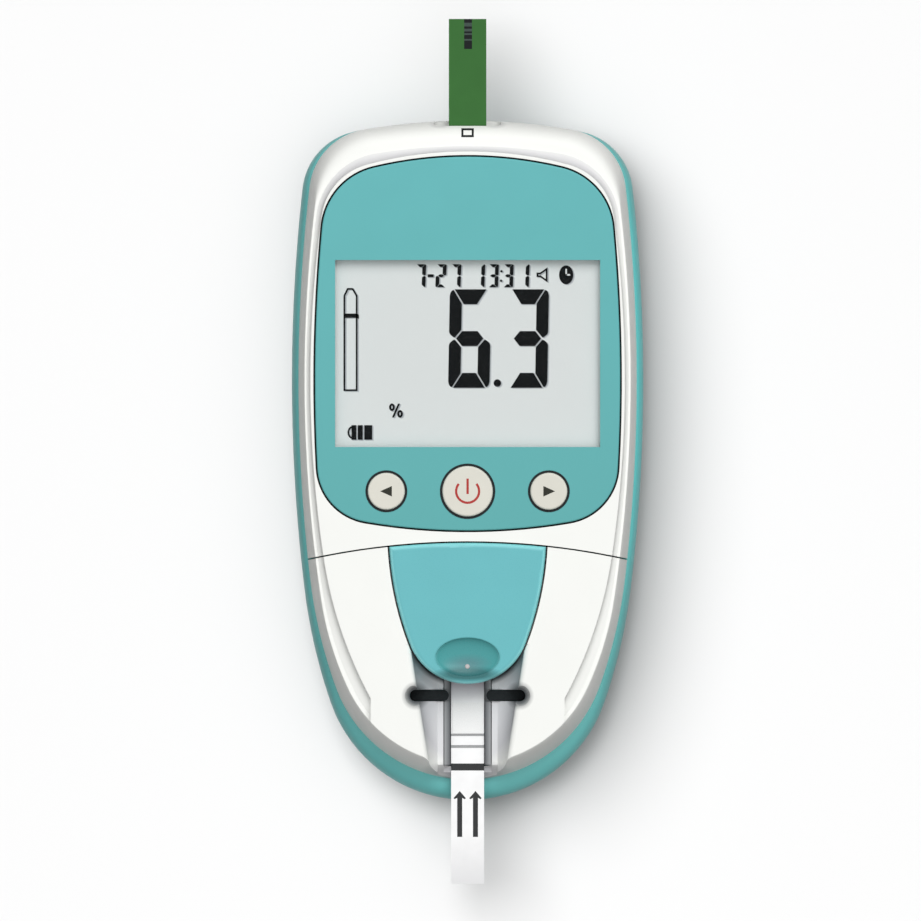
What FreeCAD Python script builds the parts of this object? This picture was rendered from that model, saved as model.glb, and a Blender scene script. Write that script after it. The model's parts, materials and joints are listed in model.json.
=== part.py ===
import FreeCAD, Part
import math
import os

os.makedirs("parts", exist_ok=True)
V = FreeCAD.Vector

# Sizes are in millimetres. +X is right, +Y points to the chip end, +Z is up from the table.

# Heights of the case
FOOT_PROUD = 0.8
BACK_T = 2.0
WALL = 1.8
BELLY_Z = 9.5
RIM_Z = 13.5
LEDGE_Z = 23.2
PLATEAU_RISE = 1.8
ROOF_T = 1.6

# Plan of the lower shell at its widest
CASE_TOP_Y = 68.0
CASE_TAIL_Y = -68.2
CASE_HALF_W = 35.25
SIDE_DOWN = 52.0
CASE_TOP_R = 122.0
CASE_CORNER_R = 13.0
CASE_TUCK = 6.2
CASE_EASE = 1.8
CASE_BLEND = 0.32
BACK_INSET = 7.0

# Plan of the upper shell at the seam, stepped in from the lower shell
RIM_SIDE_STEP = 1.34
RIM_TAIL_STEP = 4.15
RIM_TUCK = 5.8
RIM_BLEND = 0.29

# Plan of the ledge, stepped in from the seam
LEDGE_SIDE_STEP = 1.33
LEDGE_TOP_STEP = 4.7
LEDGE_TAIL_STEP = 3.25
LEDGE_TOP_R = 128.0
LEDGE_CORNER_R = 15.0
LEDGE_TUCK = 6.25
LEDGE_EASE = 1.8
LEDGE_BLEND = 0.22
WALL_LEAN = 0.65
TOP_FULLNESS = 2.6

# Plan of the raised plateau, stepped in from the ledge
PLATEAU_SIDE_STEP = 1.06
PLATEAU_TOP_STEP = 1.55
PLATEAU_TAIL_STEP = 1.95
PLATEAU_TOP_R = 78.0
PLATEAU_CORNER_R = 12.4
PLATEAU_TUCK = 9.0
PLATEAU_EASE = 3.2
PLATEAU_BLEND = 0.36
LEDGE_LAND = 0.1
PLATEAU_FOOT_H = 1.6
PLATEAU_FOOT_TURN = 15.0
PLATEAU_EDGE = 0.2
TAIL_PAD_HALF_W = 19.4

# Parting line between the two white covers
PART_R = 148.0
PART_DOWN = 84.4
PART_GAP = 0.3

# Display bezel, gasket and window
BEZEL_SIDE_STEP = 1.0
BEZEL_TOP_STEP = 1.08
BEZEL_FOOT_STEP = 2.3
BEZEL_TOP_R = 81.0
BEZEL_CORNER_R = 13.4
BEZEL_SIDE_R = 330.0
BEZEL_LOW_CORNER_R = 11.5
BEZEL_FOOT_R = 122.0
BEZEL_GAP = 0.35
BEZEL_T = 1.2
BEZEL_PROUD = 0.1
BEZEL_EDGE = 0.3
GASKET_T = 0.2
GASKET_W = 2.0
WINDOW_SIDE = 4.02
WINDOW_L = 37.4
WINDOW_DOWN = 46.7
PANE_T = 0.8
PANE_LAP = 1.2

# Display stack
LCD_LAP = 1.0
LCD_T = 2.4
LCD_GAP = 0.1
FIT = 0.2
HOLDER_WALL = 1.2
HOLDER_LEDGE = 2.0
CONNECTOR_SIDE = 4.5
CONNECTOR_W = 2.0

# Main board and what sits on it
BOARD_LIFT = 1.5
BOARD_T = 1.6
BOARD_CLEAR = 0.9
CONTROLLER_W = 10.0
CONTROLLER_T = 1.2
RADIO_W = 8.0
RADIO_L = 11.0
RADIO_T = 1.8
BUZZER_R = 4.5
BUZZER_T = 3.0
TOP_PART_GAP = 2.95
BOARD_SCREW_SPREAD = 15.0

# Buttons
BUTTON_DOWN = 74.25
SIDE_BUTTON_IN = 14.27
POWER_R = 5.05
SIDE_R = 3.7
RING_W = 0.42
CAP_PLAY = 0.06
CAP_PROUD = 0.6
CAP_EDGE = 0.4
FLANGE_W = 0.6
FLANGE_T = 0.9
BUTTON_TRAVEL = 0.6
STEM_R = 2.0
SWITCH_W = 6.0
SWITCH_T = 2.0
PLUNGER_R = 1.65
PLUNGER_PLAY = 0.08
PLUNGER_PROUD = 1.0
PLUNGER_SPARE = 0.1

# Code chip and its socket
CHIP_W = 7.5
CHIP_T = 2.0
CHIP_LIFT = 1.3
CHIP_STICK_OUT = 20.3
CHIP_IN = 15.4
CHIP_EDGE = 0.3
CHIP_PLAY = 0.2
SOCKET_L = 11.0
SOCKET_WALL = 1.2
SOCKET_BACK = 1.5
CONTACT_PITCH = 1.6
CONTACT_W = 0.8
CONTACT_L = 6.0
CONTACT_H = 0.45
CONTACT_IN = 1.0
CONTACT_COUNT = 4
PORT_W = 13.4
PORT_H = 4.2
PORT_DEPTH = 0.7
PORT_CORNER_R = 1.6

# Nose: pocket of the lid, trough and strip tray
LID_HALF_W = 15.75
LID_SIDE_UP = 2.4
LID_SIDE_R = 64.0
LID_L = 28.4
LID_GAP = 0.35
LID_T = 3.5
LID_PROUD = 0.5
LID_EDGE = 1.0
SKIRT_T = 1.2
SKIRT_H = 2.4
SKIRT_L = 8.0
SCOOP_IN = 5.4
SCOOP_HALF_W = 6.4
SCOOP_HALF_L = 3.9
SCOOP_DEPTH = 1.5
HINGE_BACK = 3.6
HINGE_DROP = 1.3
HINGE_PIN_R = 0.75
HINGE_PIN_L = 5.8
HINGE_PIN_IN = 3.0
HINGE_PLAY = 0.07
PIN_SEAT_PLAY = 0.02
TROUGH_Z = 17.6
NOSE_FLOOR_T = 1.6
TROUGH_FLOOR_HALF_W = 6.0
TROUGH_BACK_HALF_W = 11.5
TROUGH_TAIL_HALF_W = 6.2
TROUGH_BROW_R = 1.2
TROUGH_BROW_LIFT = 0.02
TROUGH_HOLLOW = 0.3
LIP_IN = 3.0
LIP_DROP = 3.2
TRAY_HALF_W = 4.65
TRAY_PLAY = 0.2
TRAY_RAIL_H = 1.4
TRAY_FLANGE_HALF_W = 5.5
TRAY_FLANGE_T = 1.2
TRAY_STOP = 2.0
TRAY_FLANGE_IN = 1.2
TRAY_FLANGE_OUT = 1.0

# Test strip
STRIP_W = 6.6
STRIP_T = 0.4
STRIP_PLAY = 0.2
STRIP_STICK_OUT = 16.7
STRIP_END_IN = 7.6
STRIP_LIFT = 0.2
SAMPLE_OUT = 6.9
SAMPLE_L = 6.2
SAMPLE_W = 6.0
SAMPLE_T = 0.15
SEAL_GAP = 0.45

# Rubber pads beside the strip
PAD_OUT = 2.35
PAD_IN_X = 3.72
PAD_OUT_X = 11.6
PAD_R = 1.18
PAD_T = 1.2
PAD_SINK = 0.7
PAD_PLAY = 0.05
PAD_MOUTH_R = 2.1
PAD_MOUTH_H = 1.8

# Optics under the strip
READ_IN = 14.6
READ_W = 4.4
READ_L = 5.0
GLASS_T = 0.8
GLASS_LAP = 1.3
OPTICS_HALF_W = 6.5
OPTICS_HALF_L = 7.0
OPTICS_LIFT = 2.2
OPTICS_BOARD_T = 1.2
OPTICS_BOARD_HALF_W = 11.2
OPTICS_BOARD_HALF_L = 11.0
OPTICS_SCREW_X = 9.2
OPTICS_SCREW_SPREAD = 9.0
OPTICS_PLAY = 0.05
LED_X = 4.0
LED_R = 1.25
LED_H = 2.4
LED_PLAY = 0.2
TUNNEL_R = 1.2
DIODE_W = 3.0
DIODE_T = 1.2

# Flat cable between the boards
CABLE_W = 10.0
CABLE_T = 0.25
CABLE_BEND_R = 2.0
CABLE_DROP_IN = 2.6
PLUG_W = 12.0
PLUG_L = 3.0
PLUG_T = 1.2

# Battery bay
CELL_D = 10.5
CELL_L = 44.5
CELL_NUB_R = 1.9
CELL_NUB_L = 1.0
CELL_GAP = 0.4
CELL_SIDE = 2.0
BAY_PLAY = 0.25
BAY_WALL = 1.4
BAY_ROOF_T = 1.2
BAY_DOWN = 49.0
SPRING_L = 4.0
SPRING_R = 2.6
SPRING_BASE_R = 3.6
SPRING_TURNS = 3
SPRING_WIRE_R = 0.3
SPRING_BASE_T = 0.3
PLATE_T = 0.5
PLATE_W = 7.0
DOOR_T = 1.8
DOOR_LAP = 1.0
DOOR_GAP = 0.2
DOOR_CORNER_R = 2.0
TAB_X = 11.0
TAB_W = 6.0
TAB_T = 1.2
TAB_REACH = 2.2
TAB_PLAY = 0.3
TAB_LIFT = 0.1
TAB_ROOM = 0.9
GRIP_W = 14.0
GRIP_T = 0.8
GRIP_IN = 6.0
GRIP_PITCH = 2.0
GRIP_COUNT = 4

# Fasteners and feet
SCREW_R = 1.15
SCREW_HEAD_R = 2.2
SCREW_HEAD_T = 1.4
SCREW_SEAT = 3.2
SCREW_BITE = 6.0
SCREW_PLAY = 0.2
CROSS_W = 0.6
CROSS_DEPTH = 0.7
CROSS_REACH = 0.6
BOSS_R = 3.2
BOSS_PLAY = 0.4
TOP_SCREW_GAP = 2.2
TOP_SCREW_IN = 18.0
SIDE_SCREW_IN = 9.3
SIDE_SCREW_UP = 4.4
NOSE_SCREW_GAP = 5.6
NOSE_SCREW_DOWN = 21.6
SMALL_SCREW_R = 0.7
SMALL_HEAD_R = 1.5
SMALL_HEAD_T = 1.0
BOARD_SCREW_L = 5.0
OPTICS_SCREW_L = 3.0
SMALL_CROSS_W = 0.4
POST_R = 2.0
FOOT_R = 4.0
FOOT_SEAT = 0.8
FOOT_EDGE = 0.3
TOP_FOOT_SIDE = 15.25
TOP_FOOT_IN = 13.0
TAIL_FOOT_SIDE = 10.0
TAIL_FOOT_IN = 17.2

# Levels and places that follow from the sizes above
REACH = CASE_TOP_Y - CASE_TAIL_Y
SIDE_Y = CASE_TOP_Y - SIDE_DOWN
PART_Y = CASE_TOP_Y - PART_DOWN
BUTTON_Y = CASE_TOP_Y - BUTTON_DOWN
WINDOW_Y = CASE_TOP_Y - WINDOW_DOWN
BAY_Y = CASE_TOP_Y - BAY_DOWN
LID_SIDE_Y = PART_Y + LID_SIDE_UP
LID_TAIL_Y = PART_Y - LID_L
SCOOP_Y = LID_TAIL_Y + SCOOP_IN
PAD_Y = LID_TAIL_Y - PAD_OUT
SAMPLE_Y = LID_TAIL_Y - SAMPLE_OUT
READ_Y = PART_Y - READ_IN
STRIP_END_Y = PART_Y - STRIP_END_IN
RIM_HALF_W = CASE_HALF_W - RIM_SIDE_STEP
LEDGE_HALF_W = RIM_HALF_W - LEDGE_SIDE_STEP
PLATEAU_HALF_W = LEDGE_HALF_W - PLATEAU_SIDE_STEP
BEZEL_HALF_W = PLATEAU_HALF_W - BEZEL_SIDE_STEP
BACK_HALF_W = CASE_HALF_W - BACK_INSET
WINDOW_W = 2 * (BEZEL_HALF_W - WINDOW_SIDE)
CONNECTOR_L = WINDOW_W - 2 * CONNECTOR_SIDE
SIDE_BUTTON_X = BEZEL_HALF_W - SIDE_BUTTON_IN
TOP_PART_X = CHIP_W / 2 + CHIP_PLAY + SOCKET_WALL + TOP_PART_GAP + BUZZER_R
TOP_SCREW_X = TOP_PART_X + BUZZER_R + TOP_SCREW_GAP + BOSS_R
BACK_Z = FOOT_PROUD
FLOOR_Z = BACK_Z + BACK_T
PLATEAU_Z = LEDGE_Z + PLATEAU_RISE
CEILING_Z = LEDGE_Z - ROOF_T
BEZEL_TOP_Z = PLATEAU_Z + BEZEL_PROUD
BEZEL_Z = BEZEL_TOP_Z - BEZEL_T
POCKET_Z = BEZEL_Z - GASKET_T
PANE_Z = BEZEL_Z - PANE_T
LCD_TOP_Z = PANE_Z - LCD_GAP
LCD_Z = LCD_TOP_Z - LCD_T
BOARD_Z = RIM_Z + BOARD_LIFT
BOARD_TOP_Z = BOARD_Z + BOARD_T
BOARD_LOW_Y = PART_Y + PART_GAP + WALL + BOARD_CLEAR
FLANGE_TOP_Z = BEZEL_Z - CAP_PLAY
FLANGE_Z = FLANGE_TOP_Z - FLANGE_T
PLUNGER_TOP_Z = BOARD_TOP_Z + SWITCH_T + PLUNGER_PROUD
PLUNGER_Z = BOARD_TOP_Z + SWITCH_T - PLUNGER_SPARE - BUTTON_TRAVEL
CHIP_Z = BOARD_TOP_Z + CHIP_LIFT
CONTACT_Z = CHIP_Z - CAP_PLAY - CONTACT_H
CHIP_OUT_Y = CASE_TOP_Y + CHIP_STICK_OUT
CHIP_IN_Y = CASE_TOP_Y - CHIP_IN
SOCKET_Y = CHIP_IN_Y - SOCKET_BACK - CHIP_PLAY
HINGE_Y = PART_Y - HINGE_BACK
HINGE_Z = PLATEAU_Z - HINGE_DROP
LID_TOP_Z = PLATEAU_Z + LID_PROUD
LID_Z = LID_TOP_Z - LID_T
NOSE_UNDER_Z = TROUGH_Z - NOSE_FLOOR_T
STRIP_Z = NOSE_UNDER_Z + STRIP_LIFT
STRIP_OUT_Y = CASE_TAIL_Y - STRIP_STICK_OUT
TRAY_Z = NOSE_UNDER_Z - TRAY_FLANGE_T
TRAY_STOP_Y = STRIP_END_Y + STRIP_PLAY
GLASS_Z = TRAY_Z - GLASS_T
OPTICS_BOARD_Z = FLOOR_Z + OPTICS_LIFT
OPTICS_Z = OPTICS_BOARD_Z + OPTICS_BOARD_T
CELL_PITCH = CELL_D + CELL_GAP
CELL_COUNT = int(2 * (BACK_HALF_W - BAY_WALL - CELL_SIDE) / CELL_PITCH)
BAY_HALF_W = (CELL_PITCH * (CELL_COUNT - 1) + CELL_D) / 2 + BAY_PLAY
BAY_HALF_L = (CELL_L + SPRING_L + PLATE_T) / 2
DOOR_TOP_Z = BACK_Z + DOOR_T
CELL_Z = DOOR_TOP_Z + BAY_PLAY + CELL_D / 2
BAY_CEILING_Z = CELL_Z + CELL_D / 2 + BAY_PLAY
DOOR_HALF_W = BAY_HALF_W + DOOR_LAP
DOOR_HALF_L = BAY_HALF_L + DOOR_LAP
SEAT_Z = BACK_Z + SCREW_SEAT
FRAME_Y = -(CHIP_OUT_Y + STRIP_OUT_Y) / 2

COVER_SCREWS = []
for side in (-1, 1):
    COVER_SCREWS.append((side * TOP_SCREW_X, CASE_TOP_Y - TOP_SCREW_IN))
    COVER_SCREWS.append((side * (CASE_HALF_W - SIDE_SCREW_IN), PART_Y + SIDE_SCREW_UP))
NOSE_SCREW_X = OPTICS_BOARD_HALF_W + BOSS_R + NOSE_SCREW_GAP
NOSE_SCREWS = [(-NOSE_SCREW_X, PART_Y - NOSE_SCREW_DOWN), (NOSE_SCREW_X, PART_Y - NOSE_SCREW_DOWN)]
BOARD_SCREW_X = BAY_HALF_W + BAY_WALL + POST_R + FIT
BOARD_SCREWS = []
for side in (-1, 1):
    for end in (-1, 1):
        BOARD_SCREWS.append((side * BOARD_SCREW_X, BAY_Y + end * BOARD_SCREW_SPREAD))
OPTICS_SCREWS = []
for side in (-1, 1):
    for end in (-1, 1):
        OPTICS_SCREWS.append((side * OPTICS_SCREW_X, READ_Y + end * OPTICS_SCREW_SPREAD))
FEET = []
for side in (-1, 1):
    FEET.append((side * (BACK_HALF_W - TOP_FOOT_SIDE), CASE_TOP_Y - TOP_FOOT_IN))
    FEET.append((side * (BACK_HALF_W - CASE_TUCK - TAIL_FOOT_SIDE), CASE_TAIL_Y + TAIL_FOOT_IN))
BUTTONS = {
    "left": (-SIDE_BUTTON_X, SIDE_R),
    "power": (0.0, POWER_R),
    "right": (SIDE_BUTTON_X, SIDE_R),
}


# Plain solids
def box(x0, x1, y0, y1, z0, z1):
    return Part.makeBox(x1 - x0, y1 - y0, z1 - z0, V(x0, y0, z0))


def block(half_w, half_l, y, z0, z1):
    return box(-half_w, half_w, y - half_l, y + half_l, z0, z1)


def rod(x, y, r, z0, z1):
    return Part.makeCylinder(r, z1 - z0, V(x, y, z0))


def ring(x, y, r_out, r_in, z0, z1):
    return rod(x, y, r_out, z0, z1).cut(rod(x, y, r_in, z0, z1))


def rounded(half_w, half_l, y, r, z0, z1):
    body = block(half_w, half_l, y, z0, z1)
    upright = [e for e in body.Edges if e.BoundBox.ZLength > (z1 - z0) / 2]
    return body.makeFillet(r, upright)


def pill(x0, x1, y, r, z0, z1):
    ends = rod(x0 + r, y, r, z0, z1).fuse(rod(x1 - r, y, r, z0, z1))
    return box(x0 + r, x1 - r, y - r, y + r, z0, z1).fuse(ends).removeSplitter()


def group(shapes):
    return Part.makeCompound(shapes)


def edges_at(shape, z):
    return [e for e in shape.Edges if abs(e.BoundBox.ZMin - z) < 1e-4 and abs(e.BoundBox.ZMax - z) < 1e-4]


# Outlines made of arcs that run smoothly into each other
def crossings(c1, r1, c2, r2):
    reach = c2 - c1
    d = reach.Length
    along = (r1 * r1 - r2 * r2 + d * d) / (2 * d)
    rise = math.sqrt(r1 * r1 - along * along)
    foot = c1 + reach * (along / d)
    across = V(-reach.y, reach.x, 0) * (rise / d)
    return [foot + across, foot - across]


def touch(centre, r, blend_centre, blend_r):
    away = blend_centre - centre
    if r < blend_r:
        away = away * -1
    return centre + away * (r / away.Length)


def blend(c1, r1, c2, r2, blend_r, upper):
    options = crossings(c1, abs(r1 - blend_r), c2, abs(r2 - blend_r))
    options.sort(key=lambda c: touch(c2, r2, c, blend_r).y)
    centre = options[-1] if upper else options[0]
    return centre, touch(c1, r1, centre, blend_r), touch(c2, r2, centre, blend_r)


def arc(centre, r, start, end):
    middle = (start - centre) + (end - centre)
    middle = centre + middle * (r / middle.Length)
    return Part.Arc(start, middle, end).toShape()


def mirrored(p):
    return V(-p.x, p.y, p.z)


def case_outline(top_y, top_r, corner_r, half_w, tail_y, tuck, ease, blend_share):
    tail_r = half_w - tuck
    drop = tuck - ease
    run = SIDE_Y - (tail_y + tail_r)
    side_r = (run * run + drop * drop) / (2 * drop)
    return [top_y, top_r, corner_r, half_w, SIDE_Y, side_r, side_r * blend_share, tail_y, tail_r]


def inset(outline, d):
    signs = (-1, -1, -1, -1, 0, -1, -1, 1, -1)
    return [value + sign * d for value, sign in zip(outline, signs)]


def mix(first, second, share):
    return [a + (b - a) * share for a, b in zip(first, second)]


def wire(outline, z):
    top_y, top_r, corner_r, half_w, side_y, side_r, low_r, tail_y, tail_r = outline
    top_c = V(0, top_y - top_r, 0)
    side_c = V(half_w - side_r, side_y, 0)
    tail_c = V(0, tail_y + tail_r, 0)
    corner_c, side_a, top_a = blend(side_c, side_r, top_c, top_r, corner_r, True)
    low_c, side_b, tail_a = blend(side_c, side_r, tail_c, tail_r, low_r, False)
    edges = [Part.Arc(mirrored(top_a), V(0, top_y, 0), top_a).toShape()]
    edges.append(arc(corner_c, corner_r, top_a, side_a))
    edges.append(arc(side_c, side_r, side_a, side_b))
    edges.append(arc(low_c, low_r, side_b, tail_a))
    edges.append(Part.Arc(tail_a, V(0, tail_y, 0), mirrored(tail_a)).toShape())
    edges.append(arc(mirrored(low_c), low_r, mirrored(tail_a), mirrored(side_b)))
    edges.append(arc(mirrored(side_c), side_r, mirrored(side_b), mirrored(side_a)))
    edges.append(arc(mirrored(corner_c), corner_r, mirrored(side_a), mirrored(top_a)))
    path = Part.Wire(edges)
    path.translate(V(0, 0, z))
    return path


def slab(outline, z0, z1):
    return Part.Face(wire(outline, z0)).extrude(V(0, 0, z1 - z0))


BELLY = case_outline(CASE_TOP_Y, CASE_TOP_R, CASE_CORNER_R, CASE_HALF_W, CASE_TAIL_Y,
                     CASE_TUCK, CASE_EASE, CASE_BLEND)
RIM = case_outline(CASE_TOP_Y, CASE_TOP_R, CASE_CORNER_R, RIM_HALF_W,
                   CASE_TAIL_Y + RIM_TAIL_STEP, RIM_TUCK, CASE_EASE, RIM_BLEND)
LEDGE = case_outline(CASE_TOP_Y - LEDGE_TOP_STEP, LEDGE_TOP_R, LEDGE_CORNER_R, LEDGE_HALF_W,
                     RIM[7] + LEDGE_TAIL_STEP, LEDGE_TUCK, LEDGE_EASE, LEDGE_BLEND)
PLATEAU = case_outline(LEDGE[0] - PLATEAU_TOP_STEP, PLATEAU_TOP_R, PLATEAU_CORNER_R,
                       PLATEAU_HALF_W, LEDGE[7] + PLATEAU_TAIL_STEP,
                       PLATEAU_TUCK, PLATEAU_EASE, PLATEAU_BLEND)
BEZEL = [PLATEAU[0] - BEZEL_TOP_STEP, BEZEL_TOP_R, BEZEL_CORNER_R, BEZEL_HALF_W, SIDE_Y,
         BEZEL_SIDE_R, BEZEL_LOW_CORNER_R, PART_Y + BEZEL_FOOT_STEP, BEZEL_FOOT_R]


# Shell forms, drawn through outlines that follow quarters of ellipses
def sines(degrees):
    return math.sin(math.radians(degrees)), math.cos(math.radians(degrees))


def tub(shrink, floor_z):
    sections = []
    for degrees in (0, 18, 36, 54, 72, 90):
        s, c = sines(degrees)
        sections.append(wire(inset(BELLY, BACK_INSET * (1 - s) + shrink), BELLY_Z - (BELLY_Z - floor_z) * c))
    for degrees in (30, 60, 90):
        s, c = sines(degrees)
        sections.append(wire(inset(mix(BELLY, RIM, 1 - c), shrink), BELLY_Z + (RIM_Z - BELLY_Z) * s))
    return Part.makeLoft(sections, True, False)


def top_share(rise):
    return 1 - (1 - rise ** TOP_FULLNESS) ** (1 / TOP_FULLNESS)


def wall_outline(s, c):
    rounded_in = mix(RIM, LEDGE, top_share(s))
    leaning_in = mix(RIM, LEDGE, WALL_LEAN * s + (1 - WALL_LEAN) * (1 - c))
    return rounded_in[:3] + leaning_in[3:]


def dome(shrink, crown_z):
    sections = []
    for degrees in (0, 20, 40, 56, 70, 81, 90):
        s, c = sines(degrees)
        sections.append(wire(inset(wall_outline(s, c), shrink), RIM_Z + (crown_z - RIM_Z) * s))
    return Part.makeLoft(sections, True, False)


def cove_outline(share):
    return mix(inset(LEDGE, LEDGE_LAND), PLATEAU, share)


def plateau():
    cove = []
    for degrees in (PLATEAU_FOOT_TURN, 40, 65, 90):
        s, c = sines(degrees)
        cove.append(wire(cove_outline(s), LEDGE_Z + PLATEAU_FOOT_H * (1 - c)))
    edge = []
    for degrees in (0, 45, 90):
        s, c = sines(degrees)
        z = LEDGE_Z + PLATEAU_FOOT_H + (PLATEAU_RISE - PLATEAU_FOOT_H) * s
        edge.append(wire(inset(PLATEAU, PLATEAU_EDGE * (1 - c)), z))
    s, c = sines(PLATEAU_FOOT_TURN)
    seat = slab(cove_outline(s), LEDGE_Z - ROOF_T / 2, LEDGE_Z + PLATEAU_FOOT_H * (1 - c))
    body = seat.fuse(Part.makeLoft(cove, True, False))
    return body.fuse(Part.makeLoft(edge, True, False))


def parting(r):
    return rod(0, PART_Y - PART_R, r, -REACH, REACH)


def tongue(grow, z0, z1):
    half_w = LID_HALF_W + grow
    side_r = LID_SIDE_R + grow
    tail_y = LID_TAIL_Y - grow
    side_c = V(half_w - side_r, LID_SIDE_Y, 0)
    drop = tail_y - LID_SIDE_Y
    tip_r = (side_r * side_r - side_c.x * side_c.x - drop * drop) / (2 * (drop + side_r))
    tip_c = V(0, tail_y + tip_r, 0)
    low = touch(side_c, side_r, tip_c, tip_r)
    high = V(half_w, LID_SIDE_Y, 0)
    edges = [arc(side_c, side_r, high, low)]
    edges.append(Part.Arc(low, V(0, tail_y, 0), mirrored(low)).toShape())
    edges.append(arc(mirrored(side_c), side_r, mirrored(low), mirrored(high)))
    edges.append(Part.makeLine(mirrored(high), high))
    body = Part.Face(Part.Wire(edges)).extrude(V(0, 0, z1 - z0))
    body.translate(V(0, 0, z0))
    return body


def trough_half(y, half_w, grow):
    foot = V(TROUGH_FLOOR_HALF_W + grow, y, TROUGH_Z - grow)
    waist = V(half_w + grow, y, PLATEAU_Z + TROUGH_BROW_LIFT - TROUGH_BROW_R)
    knee = foot + V((waist.x - foot.x) * (1 - TROUGH_HOLLOW), 0, (waist.z - foot.z) * TROUGH_HOLLOW)
    brow = waist + V(TROUGH_BROW_R, 0, TROUGH_BROW_R)
    slant = TROUGH_BROW_R * math.sqrt(0.5)
    bend = waist + V(TROUGH_BROW_R - slant, 0, slant)
    return foot, knee, waist, bend, brow, brow + V(0, 0, WALL)


def trough(grow):
    sections = []
    for y, half_w in ((LID_TAIL_Y + SKIRT_L, TROUGH_BACK_HALF_W), (CASE_TAIL_Y - WALL, TROUGH_TAIL_HALF_W)):
        right = trough_half(y, half_w, grow)
        left = [mirrored(p) for p in right]
        edges = [Part.makeLine(left[0], right[0])]
        edges.append(Part.Arc(right[0], right[1], right[2]).toShape())
        edges.append(Part.Arc(right[2], right[3], right[4]).toShape())
        edges.append(Part.makeLine(right[4], right[5]))
        edges.append(Part.makeLine(right[5], left[5]))
        edges.append(Part.makeLine(left[5], left[4]))
        edges.append(Part.Arc(left[4], left[3], left[2]).toShape())
        edges.append(Part.Arc(left[2], left[1], left[0]).toShape())
        sections.append(Part.Wire(edges))
    return Part.makeLoft(sections, True, True)


def trough_lip():
    x = TROUGH_FLOOR_HALF_W
    out_y = CASE_TAIL_Y - WALL
    low_z = TROUGH_Z - LIP_DROP
    profile = [V(-x, out_y, TROUGH_Z), V(-x, RIM[7] + LIP_IN, TROUGH_Z)]
    profile += [V(-x, RIM[7], low_z), V(-x, out_y, low_z)]
    return Part.Face(Part.makePolygon(profile + profile[:1])).extrude(V(2 * x, 0, 0))


# Screws and bosses
def cross(x, y, half_l, width, z0, z1):
    along = box(x - half_l, x + half_l, y - width / 2, y + width / 2, z0, z1)
    return along.fuse(box(x - width / 2, x + width / 2, y - half_l, y + half_l, z0, z1))


def case_screw(x, y):
    low = SEAT_Z - SCREW_HEAD_T
    body = rod(x, y, SCREW_HEAD_R, low, SEAT_Z).fuse(rod(x, y, SCREW_R, SEAT_Z, RIM_Z + SCREW_BITE))
    return body.cut(cross(x, y, SCREW_HEAD_R * CROSS_REACH, CROSS_W, low, low + CROSS_DEPTH))


def small_screw(x, y, seat_z, length):
    top = seat_z + SMALL_HEAD_T
    body = rod(x, y, SMALL_HEAD_R, seat_z, top).fuse(rod(x, y, SMALL_SCREW_R, seat_z - length, seat_z))
    return body.cut(cross(x, y, SMALL_HEAD_R * CROSS_REACH, SMALL_CROSS_W, top - SMALL_HEAD_T / 2, top))


def hang_bosses(cover, upper, crown_z, places):
    for x, y in places:
        cover = cover.fuse(rod(x, y, BOSS_R, RIM_Z, crown_z).common(upper))
    for x, y in places:
        cover = cover.cut(rod(x, y, SCREW_R, RIM_Z - WALL, RIM_Z + SCREW_BITE + SCREW_PLAY))
    return cover


# Shells
def make_bottom_case():
    outside = tub(0, BACK_Z)
    case = outside.cut(tub(WALL, FLOOR_Z))
    bay_w = BAY_HALF_W + BAY_WALL
    bay_l = BAY_HALF_L + BAY_WALL
    case = case.fuse(block(bay_w, bay_l, BAY_Y, FLOOR_Z - BACK_T / 2, BAY_CEILING_Z + BAY_ROOF_T))
    for x, y in COVER_SCREWS + NOSE_SCREWS:
        case = case.fuse(rod(x, y, BOSS_R, BACK_Z, RIM_Z).common(outside))
    for x, y in BOARD_SCREWS:
        column = rod(x, y, POST_R, BACK_Z, RIM_Z).common(outside)
        case = case.fuse(column.fuse(rod(x, y, POST_R, RIM_Z, BOARD_Z)))
    for x, y in OPTICS_SCREWS:
        case = case.fuse(rod(x, y, POST_R, FLOOR_Z - BACK_T / 2, OPTICS_BOARD_Z))
    case = case.removeSplitter()
    case = case.cut(block(BAY_HALF_W, BAY_HALF_L, BAY_Y, 0, BAY_CEILING_Z))
    opening_w = DOOR_HALF_W + DOOR_GAP
    opening_l = DOOR_HALF_L + DOOR_GAP
    case = case.cut(rounded(opening_w, opening_l, BAY_Y, DOOR_CORNER_R, 0, DOOR_TOP_Z + DOOR_GAP / 2))
    bay_end = BAY_Y + BAY_HALF_L
    for side in (-1, 1):
        half = TAB_W / 2 + TAB_PLAY
        notch_top = FLOOR_Z + TAB_T + TAB_REACH + TAB_ROOM
        case = case.cut(box(side * TAB_X - half, side * TAB_X + half, bay_end - BAY_WALL,
                            bay_end + BAY_WALL + TAB_REACH, FLOOR_Z, notch_top))
        case = case.cut(box(side * TAB_X - half, side * TAB_X + half, bay_end - BAY_WALL,
                            bay_end + DOOR_LAP + DOOR_GAP, DOOR_TOP_Z, notch_top))
    for x, y in COVER_SCREWS + NOSE_SCREWS:
        case = case.cut(rod(x, y, SCREW_HEAD_R + SCREW_PLAY, 0, SEAT_Z))
        case = case.cut(rod(x, y, SCREW_R + SCREW_PLAY, 0, RIM_Z + WALL))
    for x, y in BOARD_SCREWS:
        case = case.cut(rod(x, y, SMALL_SCREW_R, BOARD_TOP_Z - BOARD_SCREW_L - SCREW_PLAY, BOARD_TOP_Z))
    for x, y in OPTICS_SCREWS:
        case = case.cut(rod(x, y, SMALL_SCREW_R, OPTICS_Z - OPTICS_SCREW_L - SCREW_PLAY, OPTICS_Z))
    for x, y in FEET:
        case = case.cut(rod(x, y, FOOT_R, 0, BACK_Z + FOOT_SEAT))
    return case


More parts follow.
